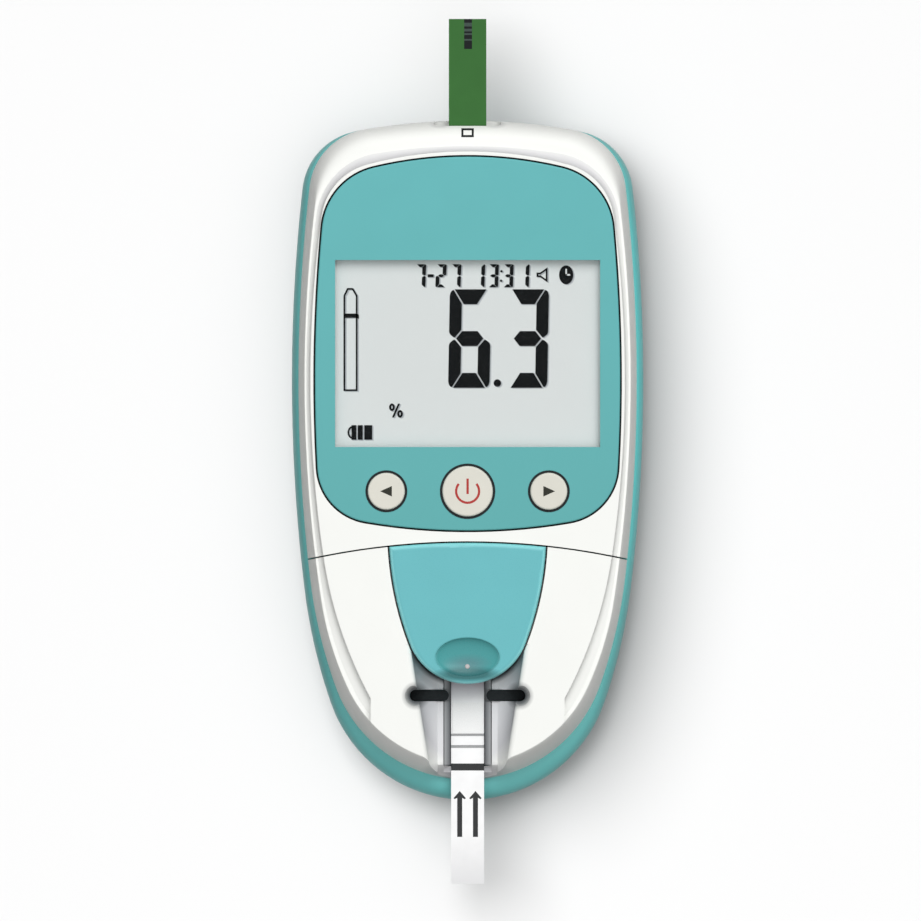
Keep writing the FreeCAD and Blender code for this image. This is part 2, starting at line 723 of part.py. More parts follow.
def make_upper():
    pad_zone = box(-TAIL_PAD_HALF_W, TAIL_PAD_HALF_W, CASE_TAIL_Y, LID_TAIL_Y, RIM_Z, PLATEAU_Z)
    body = dome(0, LEDGE_Z).cut(pad_zone).fuse(dome(0, PLATEAU_Z).common(pad_zone))
    return body.fuse(plateau()).removeSplitter()


def make_top_case(upper, hollow):
    line = PART_R + PART_GAP / 2
    cover = upper.cut(parting(line))
    cover = cover.cut(hollow.cut(parting(line + WALL)))
    cover = hang_bosses(cover, upper, CEILING_Z + ROOF_T / 2, COVER_SCREWS)
    cover = cover.cut(slab(inset(BEZEL, -BEZEL_GAP), POCKET_Z, REACH))
    opening_w = WINDOW_W / 2 + PANE_LAP + FIT
    opening_l = WINDOW_L / 2 + PANE_LAP + FIT
    cover = cover.cut(block(opening_w, opening_l, WINDOW_Y, CEILING_Z - WALL, REACH))
    for x, r in BUTTONS.values():
        cover = cover.cut(rod(x, BUTTON_Y, r + FLANGE_W + FIT, CEILING_Z - WALL, REACH))
    slot_w = CHIP_W / 2 + CHIP_PLAY
    slot = box(-slot_w, slot_w, CHIP_IN_Y, CHIP_OUT_Y, CHIP_Z - CHIP_PLAY, CHIP_Z + CHIP_T + CHIP_PLAY)
    cover = cover.cut(slot)
    port_z = CHIP_Z + CHIP_T / 2
    rise = (port_z - RIM_Z) / (LEDGE_Z - RIM_Z)
    port_y = CASE_TOP_Y - LEDGE_TOP_STEP * top_share(rise) - PORT_DEPTH
    port = box(-PORT_W / 2, PORT_W / 2, port_y, CHIP_OUT_Y, port_z - PORT_H / 2, port_z + PORT_H / 2)
    along = [e for e in port.Edges if e.BoundBox.YLength > PORT_DEPTH]
    return cover.cut(port.makeFillet(PORT_CORNER_R, along))


def make_nose_cover(upper, hollow):
    line = PART_R - PART_GAP / 2
    wells = tongue(LID_GAP, TROUGH_Z, REACH).fuse(trough(0))
    lining = tongue(LID_GAP + NOSE_FLOOR_T, NOSE_UNDER_Z, REACH).fuse(trough(NOSE_FLOOR_T))
    cover = upper.common(parting(line))
    cover = cover.cut(hollow.common(parting(line - WALL)).cut(lining))
    cover = hang_bosses(cover, upper, CEILING_Z + ROOF_T / 2, NOSE_SCREWS)
    cover = cover.cut(wells).cut(trough_lip())
    swing = LID_HALF_W + LID_GAP
    cover = cover.cut(box(-swing, swing, HINGE_Y - HINGE_BACK, PART_Y, TROUGH_Z, LID_Z + LID_EDGE))
    slot_w = TRAY_HALF_W + TRAY_PLAY
    slot_end = TRAY_STOP_Y + TRAY_STOP + TRAY_PLAY
    cover = cover.cut(box(-slot_w, slot_w, -REACH, slot_end, NOSE_UNDER_Z, PLATEAU_Z))
    for x, mouth_x in ((-PAD_OUT_X, -PAD_OUT_X + PAD_R), (PAD_IN_X, PAD_OUT_X - PAD_R)):
        cover = cover.cut(pill(x, x + PAD_OUT_X - PAD_IN_X, PAD_Y, PAD_R, TROUGH_Z - PAD_SINK, REACH))
        mouth = Part.makeCone(PAD_R, PAD_MOUTH_R, PAD_MOUTH_H, V(mouth_x, PAD_Y, PLATEAU_Z - PAD_MOUTH_H))
        cover = cover.cut(mouth)
    for shape in hinge_rods(PIN_SEAT_PLAY):
        cover = cover.cut(shape)
    return cover


def hinge_rods(play):
    start = LID_HALF_W - HINGE_PIN_IN
    rods = []
    for side in (-1, 1):
        foot = V(side * (start - play), HINGE_Y, HINGE_Z)
        rods.append(Part.makeCylinder(HINGE_PIN_R + play, HINGE_PIN_L + 2 * play, foot, V(side, 0, 0)))
    return rods


# Display, bezel and buttons
def make_bezel():
    plate = slab(BEZEL, BEZEL_Z, BEZEL_TOP_Z)
    plate = plate.makeFillet(BEZEL_EDGE, edges_at(plate, BEZEL_TOP_Z))
    plate = plate.cut(block(WINDOW_W / 2, WINDOW_L / 2, WINDOW_Y, 0, REACH))
    for x, r in BUTTONS.values():
        plate = plate.cut(rod(x, BUTTON_Y, r + CAP_PLAY + RING_W, 0, REACH))
    return plate


def make_gasket():
    band = slab(inset(BEZEL, -BEZEL_GAP), POCKET_Z, BEZEL_Z)
    return band.cut(slab(inset(BEZEL, GASKET_W - BEZEL_GAP), POCKET_Z, BEZEL_Z))


def make_button(x, r):
    cap = rod(x, BUTTON_Y, r, FLANGE_Z, BEZEL_TOP_Z + CAP_PROUD)
    cap = cap.makeFillet(CAP_EDGE, edges_at(cap, BEZEL_TOP_Z + CAP_PROUD))
    cap = cap.fuse(rod(x, BUTTON_Y, r + FLANGE_W, FLANGE_Z, FLANGE_TOP_Z))
    return cap.fuse(rod(x, BUTTON_Y, STEM_R, PLUNGER_TOP_Z, FLANGE_Z)).removeSplitter()


def make_switch(x):
    half = SWITCH_W / 2
    body = box(x - half, x + half, BUTTON_Y - half, BUTTON_Y + half, BOARD_TOP_Z, BOARD_TOP_Z + SWITCH_T)
    floor = PLUNGER_Z - BUTTON_TRAVEL - PLUNGER_SPARE
    return body.cut(rod(x, BUTTON_Y, PLUNGER_R + PLUNGER_PLAY, floor, BOARD_TOP_Z + SWITCH_T))


def make_lcd_holder():
    half_w = WINDOW_W / 2 + LCD_LAP + FIT
    half_l = WINDOW_L / 2 + LCD_LAP + FIT
    frame = block(half_w + HOLDER_WALL, half_l + HOLDER_WALL, WINDOW_Y, BOARD_TOP_Z, CEILING_Z - FIT)
    frame = frame.cut(block(half_w, half_l, WINDOW_Y, LCD_Z, CEILING_Z))
    for x, y in BOARD_SCREWS:
        frame = frame.cut(rod(x, y, SMALL_HEAD_R + FIT, BOARD_TOP_Z, BOARD_TOP_Z + SMALL_HEAD_T + FIT))
    return frame.cut(block(half_w - HOLDER_LEDGE, half_l - HOLDER_LEDGE, WINDOW_Y, BOARD_TOP_Z, LCD_Z))


def make_lcd_connector():
    low_y = WINDOW_Y - WINDOW_L / 2 - LCD_LAP - FIT + HOLDER_LEDGE
    return box(-CONNECTOR_L / 2, CONNECTOR_L / 2, low_y, low_y + CONNECTOR_W, BOARD_TOP_Z, LCD_Z)


# Main board
def make_main_board():
    board = slab(inset(RIM, WALL + BOARD_CLEAR), BOARD_Z, BOARD_TOP_Z)
    board = board.common(box(-REACH, REACH, BOARD_LOW_Y, REACH, BOARD_Z, BOARD_TOP_Z))
    for x, y in COVER_SCREWS:
        board = board.cut(rod(x, y, BOSS_R + BOSS_PLAY, 0, REACH))
    for x, y in BOARD_SCREWS:
        board = board.cut(rod(x, y, SMALL_SCREW_R + SCREW_PLAY, 0, REACH))
    return board


def make_chip():
    body = box(-CHIP_W / 2, CHIP_W / 2, CHIP_IN_Y, CHIP_OUT_Y, CHIP_Z, CHIP_Z + CHIP_T)
    return body.makeChamfer(CHIP_EDGE, [e for e in body.Edges if abs(e.BoundBox.YMin - CHIP_IN_Y) < 1e-4
                                        and e.BoundBox.YLength < 1e-4])


def make_socket():
    half = CHIP_W / 2 + CHIP_PLAY
    top = CHIP_Z + CHIP_T + CHIP_PLAY
    wide = half + SOCKET_WALL
    body = box(-wide, wide, SOCKET_Y, SOCKET_Y + SOCKET_L, BOARD_TOP_Z, top + SOCKET_WALL)
    return body.cut(box(-half, half, SOCKET_Y + SOCKET_BACK, REACH, CONTACT_Z, top))


def make_chip_contacts():
    leaves = []
    low_y = CHIP_IN_Y + CONTACT_IN
    for index in range(CONTACT_COUNT):
        x = (index - (CONTACT_COUNT - 1) / 2) * CONTACT_PITCH
        leaves.append(box(x - CONTACT_W / 2, x + CONTACT_W / 2, low_y, low_y + CONTACT_L, CONTACT_Z,
                          CONTACT_Z + CONTACT_H))
    return group(leaves)


# Lid, tray and strip
def make_lid():
    hinge_line = PART_R - PART_GAP / 2
    lid = tongue(0, LID_Z, LID_TOP_Z).common(parting(hinge_line))
    lid = lid.makeFillet(LID_EDGE, edges_at(lid, LID_TOP_Z))
    skirt = tongue(0, LID_Z - SKIRT_H, LID_Z).cut(tongue(-SKIRT_T, LID_Z - SKIRT_H, LID_Z))
    skirt = skirt.common(box(-REACH, REACH, LID_TAIL_Y, LID_TAIL_Y + SKIRT_L, 0, REACH))
    lid = lid.fuse(skirt).removeSplitter()
    scale = FreeCAD.Matrix()
    scale.scale(SCOOP_HALF_W, SCOOP_HALF_L, SCOOP_DEPTH)
    dish = Part.makeSphere(1.0).transformGeometry(scale)
    dish.translate(V(0, SCOOP_Y, LID_TOP_Z))
    lid = lid.cut(dish)
    for shape in hinge_rods(HINGE_PLAY):
        lid = lid.cut(shape)
    return lid


def make_tray():
    tail = RIM[7] + WALL
    stop = TRAY_STOP_Y + TRAY_STOP
    tray = box(-TRAY_FLANGE_HALF_W, TRAY_FLANGE_HALF_W, tail + TRAY_FLANGE_IN, stop + TRAY_FLANGE_OUT,
               TRAY_Z, NOSE_UNDER_Z)
    tray = tray.fuse(box(-TRAY_HALF_W, TRAY_HALF_W, RIM[7] + LIP_IN, stop, NOSE_UNDER_Z,
                         NOSE_UNDER_Z + TRAY_RAIL_H))
    channel = STRIP_W / 2 + STRIP_PLAY
    tray = tray.cut(box(-channel, channel, -REACH, TRAY_STOP_Y, STRIP_Z, PLATEAU_Z))
    pad_low = TROUGH_Z - PAD_SINK - PAD_PLAY
    tray = tray.cut(block(REACH, PAD_R + PAD_PLAY, PAD_Y, pad_low, PLATEAU_Z))
    return tray.cut(block(READ_W / 2, READ_L / 2, READ_Y, 0, REACH))


def make_pads():
    low = TROUGH_Z - PAD_SINK
    pads = []
    for x in (-PAD_OUT_X, PAD_IN_X):
        end = x + PAD_OUT_X - PAD_IN_X
        pads.append(pill(x + PAD_PLAY, end - PAD_PLAY, PAD_Y, PAD_R - PAD_PLAY, low, low + PAD_T))
    return group(pads)


# Optics
def make_optics_block():
    top = TRAY_Z - OPTICS_PLAY
    body = block(OPTICS_HALF_W, OPTICS_HALF_L, READ_Y, OPTICS_Z, top)
    body = body.cut(block(READ_W / 2 + GLASS_LAP + OPTICS_PLAY, READ_L / 2 + GLASS_LAP + OPTICS_PLAY, READ_Y,
                          GLASS_Z, REACH))
    body = body.cut(rod(0, READ_Y, TUNNEL_R, OPTICS_Z, GLASS_Z))
    seat = DIODE_W / 2 + LED_PLAY
    body = body.cut(block(seat, seat, READ_Y, OPTICS_Z, OPTICS_Z + DIODE_T + LED_PLAY))
    for side in (-1, 1):
        x = side * LED_X
        body = body.cut(rod(x, READ_Y, LED_R + LED_PLAY, OPTICS_Z, OPTICS_Z + LED_H + LED_PLAY))
        aim = V(-x, 0, GLASS_Z - OPTICS_Z - LED_H)
        body = body.cut(Part.makeCylinder(TUNNEL_R, aim.Length, V(x, READ_Y, OPTICS_Z + LED_H), aim))
    return body


def make_optics_board():
    board = block(OPTICS_BOARD_HALF_W, OPTICS_BOARD_HALF_L, READ_Y, OPTICS_BOARD_Z, OPTICS_Z)
    for x, y in OPTICS_SCREWS:
        board = board.cut(rod(x, y, SMALL_SCREW_R + SCREW_PLAY, 0, REACH))
    return board


def make_cable():
    x = CABLE_W / 2
    drop_y = BOARD_LOW_Y + CABLE_DROP_IN
    end_y = READ_Y + OPTICS_BOARD_HALF_L
    high = BOARD_Z - PLUG_T
    low = OPTICS_Z + PLUG_T / 2
    outer = CABLE_BEND_R
    inner = CABLE_BEND_R - CABLE_T
    bend = V(-x, drop_y - outer, low + outer)
    slant = math.sqrt(0.5)
    edges = [Part.makeLine(V(-x, drop_y, high), V(-x, drop_y, bend.z))]
    edges.append(Part.Arc(V(-x, drop_y, bend.z), bend + V(0, slant * outer, -slant * outer),
                          V(-x, bend.y, low)).toShape())
    edges.append(Part.makeLine(V(-x, bend.y, low), V(-x, end_y, low)))
    edges.append(Part.makeLine(V(-x, end_y, low), V(-x, end_y, low + CABLE_T)))
    edges.append(Part.makeLine(V(-x, end_y, low + CABLE_T), V(-x, bend.y, low + CABLE_T)))
    edges.append(Part.Arc(V(-x, bend.y, low + CABLE_T), bend + V(0, slant * inner, -slant * inner),
                          V(-x, drop_y - CABLE_T, bend.z)).toShape())
    edges.append(Part.makeLine(V(-x, drop_y - CABLE_T, bend.z), V(-x, drop_y - CABLE_T, high)))
    edges.append(Part.makeLine(V(-x, drop_y - CABLE_T, high), V(-x, drop_y, high)))
    return Part.Face(Part.Wire(edges)).extrude(V(CABLE_W, 0, 0))


def make_plugs():
    upper_y = BOARD_LOW_Y + CABLE_DROP_IN - CABLE_T / 2
    lower_y = READ_Y + OPTICS_BOARD_HALF_L - PLUG_L
    upper = block(PLUG_W / 2, PLUG_L / 2, upper_y, BOARD_Z - PLUG_T, BOARD_Z)
    lower = box(-PLUG_W / 2, PLUG_W / 2, lower_y, lower_y + PLUG_L, OPTICS_Z, OPTICS_Z + PLUG_T)
    return group([upper, lower])


# Batteries and door
def cell_x(index):
    return (index - (CELL_COUNT - 1) / 2) * CELL_PITCH


def cell_way(index):
    return 1 if index % 2 == 0 else -1


def make_cell(index):
    way = cell_way(index)
    tip = BAY_Y + way * (BAY_HALF_L - PLATE_T)
    axis = V(0, -way, 0)
    shoulder = V(cell_x(index), tip - way * CELL_NUB_L, CELL_Z)
    can = Part.makeCylinder(CELL_D / 2, CELL_L - CELL_NUB_L, shoulder, axis)
    nub = Part.makeCylinder(CELL_NUB_R, CELL_NUB_L, V(cell_x(index), tip, CELL_Z), axis)
    return can.fuse(nub)


def make_spring(index):
    way = cell_way(index)
    wall = V(cell_x(index), BAY_Y - way * BAY_HALF_L, CELL_Z)
    base = Part.makeCylinder(SPRING_BASE_R, SPRING_BASE_T, V(0, 0, 0), V(0, 0, 1))
    height = SPRING_L - SPRING_BASE_T - SPRING_WIRE_R
    path = Part.makeHelix(height / SPRING_TURNS, height, SPRING_R)
    path.translate(V(0, 0, SPRING_BASE_T))
    start = Part.Wire([Part.makeCircle(SPRING_WIRE_R, V(SPRING_R, 0, SPRING_BASE_T), V(0, 1, 0))])
    coil = Part.Wire(path.Edges).makePipeShell([start], True, True)
    coil = coil.cut(rod(0, 0, SPRING_BASE_R, -WALL, SPRING_BASE_T / 2))
    spring = base.fuse(coil)
    spring.Placement = FreeCAD.Placement(wall, FreeCAD.Rotation(V(0, 0, 1), V(0, way, 0)))
    return spring


def make_plate(index):
    way = cell_way(index)
    wall = BAY_Y + way * BAY_HALF_L
    near = wall - way * PLATE_T
    half = PLATE_W / 2
    x = cell_x(index)
    return box(x - half, x + half, min(wall, near), max(wall, near), CELL_Z - half, CELL_Z + half)


def make_door():
    door = rounded(DOOR_HALF_W, DOOR_HALF_L, BAY_Y, DOOR_CORNER_R, BACK_Z, DOOR_TOP_Z)
    end = BAY_Y + DOOR_HALF_L
    low = FLOOR_Z + TAB_LIFT
    for side in (-1, 1):
        x0 = side * TAB_X - TAB_W / 2
        x1 = side * TAB_X + TAB_W / 2
        door = door.fuse(box(x0, x1, end - TAB_T, end, DOOR_TOP_Z - DOOR_T / 2, low + TAB_T))
        door = door.fuse(box(x0, x1, end - TAB_T, end + TAB_REACH, low, low + TAB_T))
    for index in range(GRIP_COUNT):
        y = BAY_Y - DOOR_HALF_L + GRIP_IN + index * GRIP_PITCH
        groove = Part.makeCylinder(GRIP_T, GRIP_W, V(-GRIP_W / 2, y, BACK_Z - GRIP_T / 2), V(1, 0, 0))
        door = door.cut(groove)
    return door.removeSplitter()


def make_foot(x, y):
    foot = rod(x, y, FOOT_R, 0, BACK_Z + FOOT_SEAT)
    return foot.makeChamfer(FOOT_EDGE, edges_at(foot, 0))


# Assembly
nodes = {}
upper = make_upper()
hollow = dome(WALL, CEILING_Z)
nodes["bottom_case"] = make_bottom_case()
nodes["top_case"] = make_top_case(upper, hollow)
nodes["nose_cover"] = make_nose_cover(upper, hollow)
nodes["display_bezel"] = make_bezel()
nodes["bezel_gasket"] = make_gasket()
pane_w = WINDOW_W / 2 + PANE_LAP
pane_l = WINDOW_L / 2 + PANE_LAP
nodes["display_window"] = block(pane_w, pane_l, WINDOW_Y, PANE_Z, BEZEL_Z)
nodes["lcd_panel"] = block(WINDOW_W / 2 + LCD_LAP, WINDOW_L / 2 + LCD_LAP, WINDOW_Y, LCD_Z, LCD_TOP_Z)
nodes["lcd_holder"] = make_lcd_holder()
nodes["lcd_connector"] = make_lcd_connector()
nodes["main_board"] = make_main_board()
nodes["board_screws"] = group([small_screw(x, y, BOARD_TOP_Z, BOARD_SCREW_L) for x, y in BOARD_SCREWS])
half = CONTROLLER_W / 2
nodes["microcontroller"] = block(half, half, WINDOW_Y, BOARD_TOP_Z, BOARD_TOP_Z + CONTROLLER_T)
part_y = SOCKET_Y + SOCKET_L / 2
nodes["radio_module"] = box(-TOP_PART_X - RADIO_W / 2, -TOP_PART_X + RADIO_W / 2, part_y - RADIO_L / 2,
                            part_y + RADIO_L / 2, BOARD_TOP_Z, BOARD_TOP_Z + RADIO_T)
nodes["buzzer"] = rod(TOP_PART_X, part_y, BUZZER_R, BOARD_TOP_Z, BOARD_TOP_Z + BUZZER_T)
nodes["tact_switches"] = group([make_switch(x) for x, r in BUTTONS.values()])
rings = []
for name, (x, r) in BUTTONS.items():
    nodes[name + "_button"] = make_button(x, r)
    nodes[name + "_switch_plunger"] = rod(x, BUTTON_Y, PLUNGER_R, PLUNGER_Z, PLUNGER_TOP_Z)
    rings.append(ring(x, BUTTON_Y, r + CAP_PLAY + RING_W, r + CAP_PLAY, BEZEL_Z, BEZEL_TOP_Z + BEZEL_PROUD))
nodes["button_rings"] = group(rings)
nodes["code_chip"] = make_chip()
nodes["chip_socket"] = make_socket()
nodes["chip_contacts"] = make_chip_contacts()
nodes["strip_lid"] = make_lid()
nodes["lid_hinge_pins"] = group(hinge_rods(0))
strip_top = STRIP_Z + STRIP_T
nodes["lid_seal"] = block(STRIP_W / 2 - FIT, READ_L / 2 + GLASS_LAP, READ_Y, strip_top + SEAL_GAP, LID_Z)
nodes["strip_tray"] = make_tray()
nodes["test_strip"] = box(-STRIP_W / 2, STRIP_W / 2, STRIP_OUT_Y, STRIP_END_Y, STRIP_Z, strip_top)
nodes["strip_sample_pad"] = block(SAMPLE_W / 2, SAMPLE_L / 2, SAMPLE_Y, strip_top, strip_top + SAMPLE_T)
nodes["guide_pads"] = make_pads()
nodes["optics_window"] = block(READ_W / 2 + GLASS_LAP, READ_L / 2 + GLASS_LAP, READ_Y, GLASS_Z, TRAY_Z)
nodes["optics_block"] = make_optics_block()
leds = [rod(x, READ_Y, LED_R, OPTICS_Z, OPTICS_Z + LED_H) for x in (-LED_X, LED_X)]
nodes["optics_leds"] = group(leds)
nodes["photodiode"] = block(DIODE_W / 2, DIODE_W / 2, READ_Y, OPTICS_Z, OPTICS_Z + DIODE_T)
nodes["optics_board"] = make_optics_board()
nodes["optics_screws"] = group([small_screw(x, y, OPTICS_Z, OPTICS_SCREW_L) for x, y in OPTICS_SCREWS])
nodes["flex_cable"] = make_cable()
nodes["flex_connectors"] = make_plugs()
for index in range(CELL_COUNT):
    nodes["battery_cell_" + str(index + 1)] = make_cell(index)
nodes["battery_springs"] = group([make_spring(index) for index in range(CELL_COUNT)])
nodes["battery_plates"] = group([make_plate(index) for index in range(CELL_COUNT)])
nodes["battery_door"] = make_door()
nodes["case_screws"] = group([case_screw(x, y) for x, y in COVER_SCREWS + NOSE_SCREWS])
nodes["rubber_feet"] = group([make_foot(x, y) for x, y in FEET])

for name, shape in nodes.items():
    shape.translate(V(0, FRAME_Y, 0))
    shape.exportStep("parts/" + name + ".step")
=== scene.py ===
import json
import math
from collections import namedtuple

import bmesh
import bpy
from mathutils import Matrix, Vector
from mathutils.bvhtree import BVHTree


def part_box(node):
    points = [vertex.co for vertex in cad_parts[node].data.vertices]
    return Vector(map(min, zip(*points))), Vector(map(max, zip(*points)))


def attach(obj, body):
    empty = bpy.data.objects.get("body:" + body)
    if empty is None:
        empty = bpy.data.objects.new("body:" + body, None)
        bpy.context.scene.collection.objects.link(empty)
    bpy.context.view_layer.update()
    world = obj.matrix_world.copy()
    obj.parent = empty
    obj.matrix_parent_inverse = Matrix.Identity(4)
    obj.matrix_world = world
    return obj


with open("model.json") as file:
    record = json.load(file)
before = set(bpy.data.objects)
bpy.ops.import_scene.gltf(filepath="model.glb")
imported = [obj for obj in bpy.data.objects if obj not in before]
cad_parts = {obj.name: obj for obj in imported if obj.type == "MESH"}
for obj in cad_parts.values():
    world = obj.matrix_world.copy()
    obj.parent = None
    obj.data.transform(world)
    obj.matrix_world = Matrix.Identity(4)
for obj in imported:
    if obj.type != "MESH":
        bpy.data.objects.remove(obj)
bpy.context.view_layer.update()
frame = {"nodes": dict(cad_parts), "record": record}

# All lengths are in metres; marks are drawn in millimetres
MM = 0.001

# View: straight down through a long lens
VIEW_W = 184.2 * MM
VIEW_X = -1.42 * MM
VIEW_Y = -1.8 * MM
LENS = 1000.0
SENSOR_W = 36.0
CLIP_FAR = 100.0

# Light: an overhead glow that fades towards the horizon, with one lamp for the part and one for the floor
GLOW_LEVEL = 0.6
GLOW_FADE = 2.5
PART_LAMP = {"level": 0.38, "turn": -16.0, "rise": 52.0, "width": 40.0}
FLOOR_LAMP = {"level": 0.8, "turn": 45.0, "rise": 61.0, "width": 50.0}
FLOOR_HALF_W = 4.0
FLOOR_BOUNCE = 0.155
FLOOR_TONES = ("d9d9d9", "dbdbdb")
FLOOR_CLOUD = 0.4

# Printed marks stand this far off what carries them
INK_T = 0.02 * MM
INK_SINK = 0.01 * MM
ARC_STEPS = 24
FINE_STEPS = 8

# Display segments, as shares of a stem's width and of a bar's thickness
BAR_CORNER, BAR_SHOULDER = 0.39, 1.15
CROSS_TIP, CROSS_SHOULDER = 0.58, 1.07
STEM_FOOT = ((1.0, 0.58), (0.47, 0.07), (0.35, 0.1), (0.08, 0.28), (0.0, 0.45))
STEM_HEAD = ((0.0, 0.42), (0.07, 0.2), (0.18, 0.08), (0.31, 0.04), (1.0, 0.96))
LIT_SEGMENTS = {"1": "BC", "2": "ABGED", "3": "ABGCD", "6": "AFGECD", "7": "ABC"}

# Display marks, measured from the middle of the window
BIG_DIGIT = {"width": 8.28, "height": 19.7, "stem": 2.44, "thick": 2.98, "lean": 0.018}
BIG_FOOT = -6.85
BIG_PLACES = (("6", -3.9), ("3", 7.65))
POINT_SPOT, POINT_R = (5.95, -5.9), 0.74
SMALL_DIGIT = {"width": 2.1, "height": 4.6, "stem": 0.74, "thick": 0.58, "lean": 0.035}
SMALL_FOOT = 13.27
SMALL_PLACES = (("7", -10.55), ("2", -6.45), ("7", -3.5), ("1", 1.27), ("3", 4.0), ("3", 6.97), ("1", 10.15))
DASH_SPAN = (-8.0, -6.8)
COLON_X, COLON_RISE, COLON_R, COLON_STEPS = 6.65, (1.3, 3.2), 0.24, 12
GAUGE_SPAN = (-24.83, -22.03)
GAUGE_TIP_SPAN = (-24.1, -22.9)
GAUGE_FOOT, GAUGE_SHOULDER, GAUGE_TIP = -7.5, 11.6, 13.1
GAUGE_BAND = (7.15, 8.0)
PERCENT_MIDDLE, PERCENT_H = (-14.33, -11.4), 2.75
SLASH_RUN, SLASH_HALF = 0.6, 0.21
PERCENT_RING_OFF, PERCENT_RING_HALF, PERCENT_RING_LINE = (0.81, 0.66), (0.57, 0.76), 0.41
CELL_NOSE, CELL_FOOT, CELL_HEAD = -24.03, -17.24, -14.33
CELL_NOSE_ARC = (120, 240)
CELL_BARS = ((-23.23, -22.25), (-21.98, -20.98), (-20.68, -19.1))
SPEAKER_SPAN, SPEAKER_NECK, SPEAKER_Y = (13.8, 15.98), 14.5, 15.75
SPEAKER_HALF, SPEAKER_NECK_HALF = 1.5, 0.45
CLOCK_SPOT, CLOCK_HALF_W, CLOCK_HALF_H = (19.72, 15.75), 1.42, 1.9
CLOCK_LONG_HAND, CLOCK_SHORT_HAND, CLOCK_HAND_HALF = 1.2, 0.8, 0.16
THIN_LINE = 0.34
# Offsets of the marks' painted shadows: copies under them, softer further down
SHADE_STEPS = ((0.14, -0.1), (0.3, -0.2))

# Marks on the buttons, measured from their middles
ARROW_BACK, ARROW_TIP, ARROW_HALF = 1.1, 1.25, 1.05
POWER_RING_R, POWER_LINE = 2.3, 0.46
POWER_ARC = (140.0, 400.0)
POWER_BAR = (-0.55, 2.55)

# Marks on the strip, as distances from its outer end
BAND_SPAN = (22.7, 24.1)
STRIP_LINES = ((29.6, 30.08), (27.22, 27.8))
STRIP_ARROW_X = 1.58
STRIP_ARROW_TIP, STRIP_ARROW_BARB, STRIP_ARROW_FOOT = 18.6, 17.15, 9.4
STRIP_ARROW_HALF, STRIP_SHAFT_HALF, STRIP_BARB_T, STRIP_BARB_IN = 1.24, 0.5, 0.2, 0.8

# Code bars on the chip, as distances from its outer end
CODE_X, CODE_HALF, CODE_L, CODE_EDGE = 0.1, 0.78, 6.0, 0.02
CODE_BARS = ((0.0, 0.75), (1.5, 1.95), (2.5, 2.85), (3.2, 4.0), (4.35, 6.0))

# Marks on the shells: the slot's by its place in the part, the pip's from the lid's tip
SLOT_MARK_Y, SLOT_MARK_HALF_W, SLOT_MARK_HALF_L, SLOT_MARK_LINE = 63.8, 1.25, 0.9, 0.42
PIP_X, PIP_IN, PIP_R, PIP_H, PIP_SINK = -0.05, 3.5, 0.5, 0.22, 0.02
PIP_RISES = (0, 25, 50, 72)
DOOR_RIBS, DOOR_RIB_PITCH, DOOR_RIB_IN = 6, 1.6, 5.0
DOOR_RIB_HALF_W, DOOR_RIB_R, DOOR_RIB_FLAT, DOOR_RIB_TURN = 7.0, 0.4, 0.8, 20

# Most of a noise's values lie between these
NOISE_LOW, NOISE_HIGH = 0.3, 0.7

# Radians that a wave texture turns by in one unit of length
WAVE_RATE = 20.0

# Tones of the shells, with painted light on the teal shell's side and tail and a painted highlight on
# sloping edges
WHITE = "fafbf7"
WHITE_LOOK = {"rough": 0.5, "drift": 0.008}
TAIL_LIGHT_FADE = 25.0 * MM
SIDE_LIGHT_FADE = 4.0 * MM
HIGHLIGHT_SLOPE = (0.97, 0.8)
GRAIN_ROUGH = 0.06

# Painted shade in the trough, on its lip, round the lid's tip and in the tray's groove
TROUGH_HALF_W, TROUGH_HALF_L, TROUGH_BACK, TROUGH_SOFT = 12.2 * MM, 20.0 * MM, 2.5 * MM, 0.08
TROUGH_BROW = (0.4 * MM, 1.4 * MM)
TROUGH_DEPTH = 7.5 * MM
TROUGH_TONES = ((0.0, "dedee0"), (0.25, "d4d4d7"), (0.6, "c0c0c3"), (0.82, "aeaeb1"), (1.0, "dadadc"))
LID_TIP_IN, LID_TIP_HALF_W, LID_TIP_HALF_L, LID_TIP_SOFT = 6.7 * MM, 10.7 * MM, 7.3 * MM, 0.06
LID_TIP_SHADOW = "4b5256"
LIP_IN, LIP_HALF_W, LIP_HALF_L = 1.5 * MM, 7.0 * MM, 1.9 * MM
GROOVE_HALF_W, GROOVE_HALF_L = 4.15 * MM, 1.0

# Shade in the thumb scoop, the cove round the raised face, the pads' mouths and the chip's port
SCOOP_IN, SCOOP_HALF_W, SCOOP_HALF_L = 5.4 * MM, 6.4 * MM, 3.9 * MM
SCOOP_LOW, SCOOP_LOW_HALF_W, SCOOP_LOW_HALF_L = 3.4 * MM, 5.6 * MM, 1.3 * MM
COVE_SPAN, COVE_RISE, COVE_BROW = (13.0 * MM, 24.0 * MM), (1.79 * MM, 0.4 * MM), (0.04 * MM, 0.25 * MM)
COVE_TONES = ((0.0, WHITE), (0.04, "ededec"), (0.3, "dededf"), (1.0, "d6d6d7"))
MOUTH_IN, MOUTH_R = 1.2 * MM, 2.2 * MM
PORT_SIDE, PORT_IN, PORT_HALF_W, PORT_HALF_L = 5.4 * MM, 0.8 * MM, 1.9 * MM, 0.7 * MM

# Tones of the strip with the lid's painted shadow on it, the rubber and the cells' sleeves
STRIP_END_FADE, STRIP_LID_SHADOW = 10 * MM, 4 * MM
RUBBER_DUST = ((0.35, 0.8), (0.7, 1.35))
SLEEVE_STEEL, SLEEVE_WHITE, SLEEVE_TEAL = "b9bcc0", "e4e7e6", "3f8f96"
SLEEVE_BANDS = ((0.0, SLEEVE_STEEL), (0.03, SLEEVE_WHITE), (0.3, SLEEVE_TEAL), (0.36, SLEEVE_WHITE),
                (0.64, SLEEVE_TEAL), (0.7, SLEEVE_WHITE), (0.96, SLEEVE_STEEL))
SLEEVE_WEAR = (0.4, 0.8)
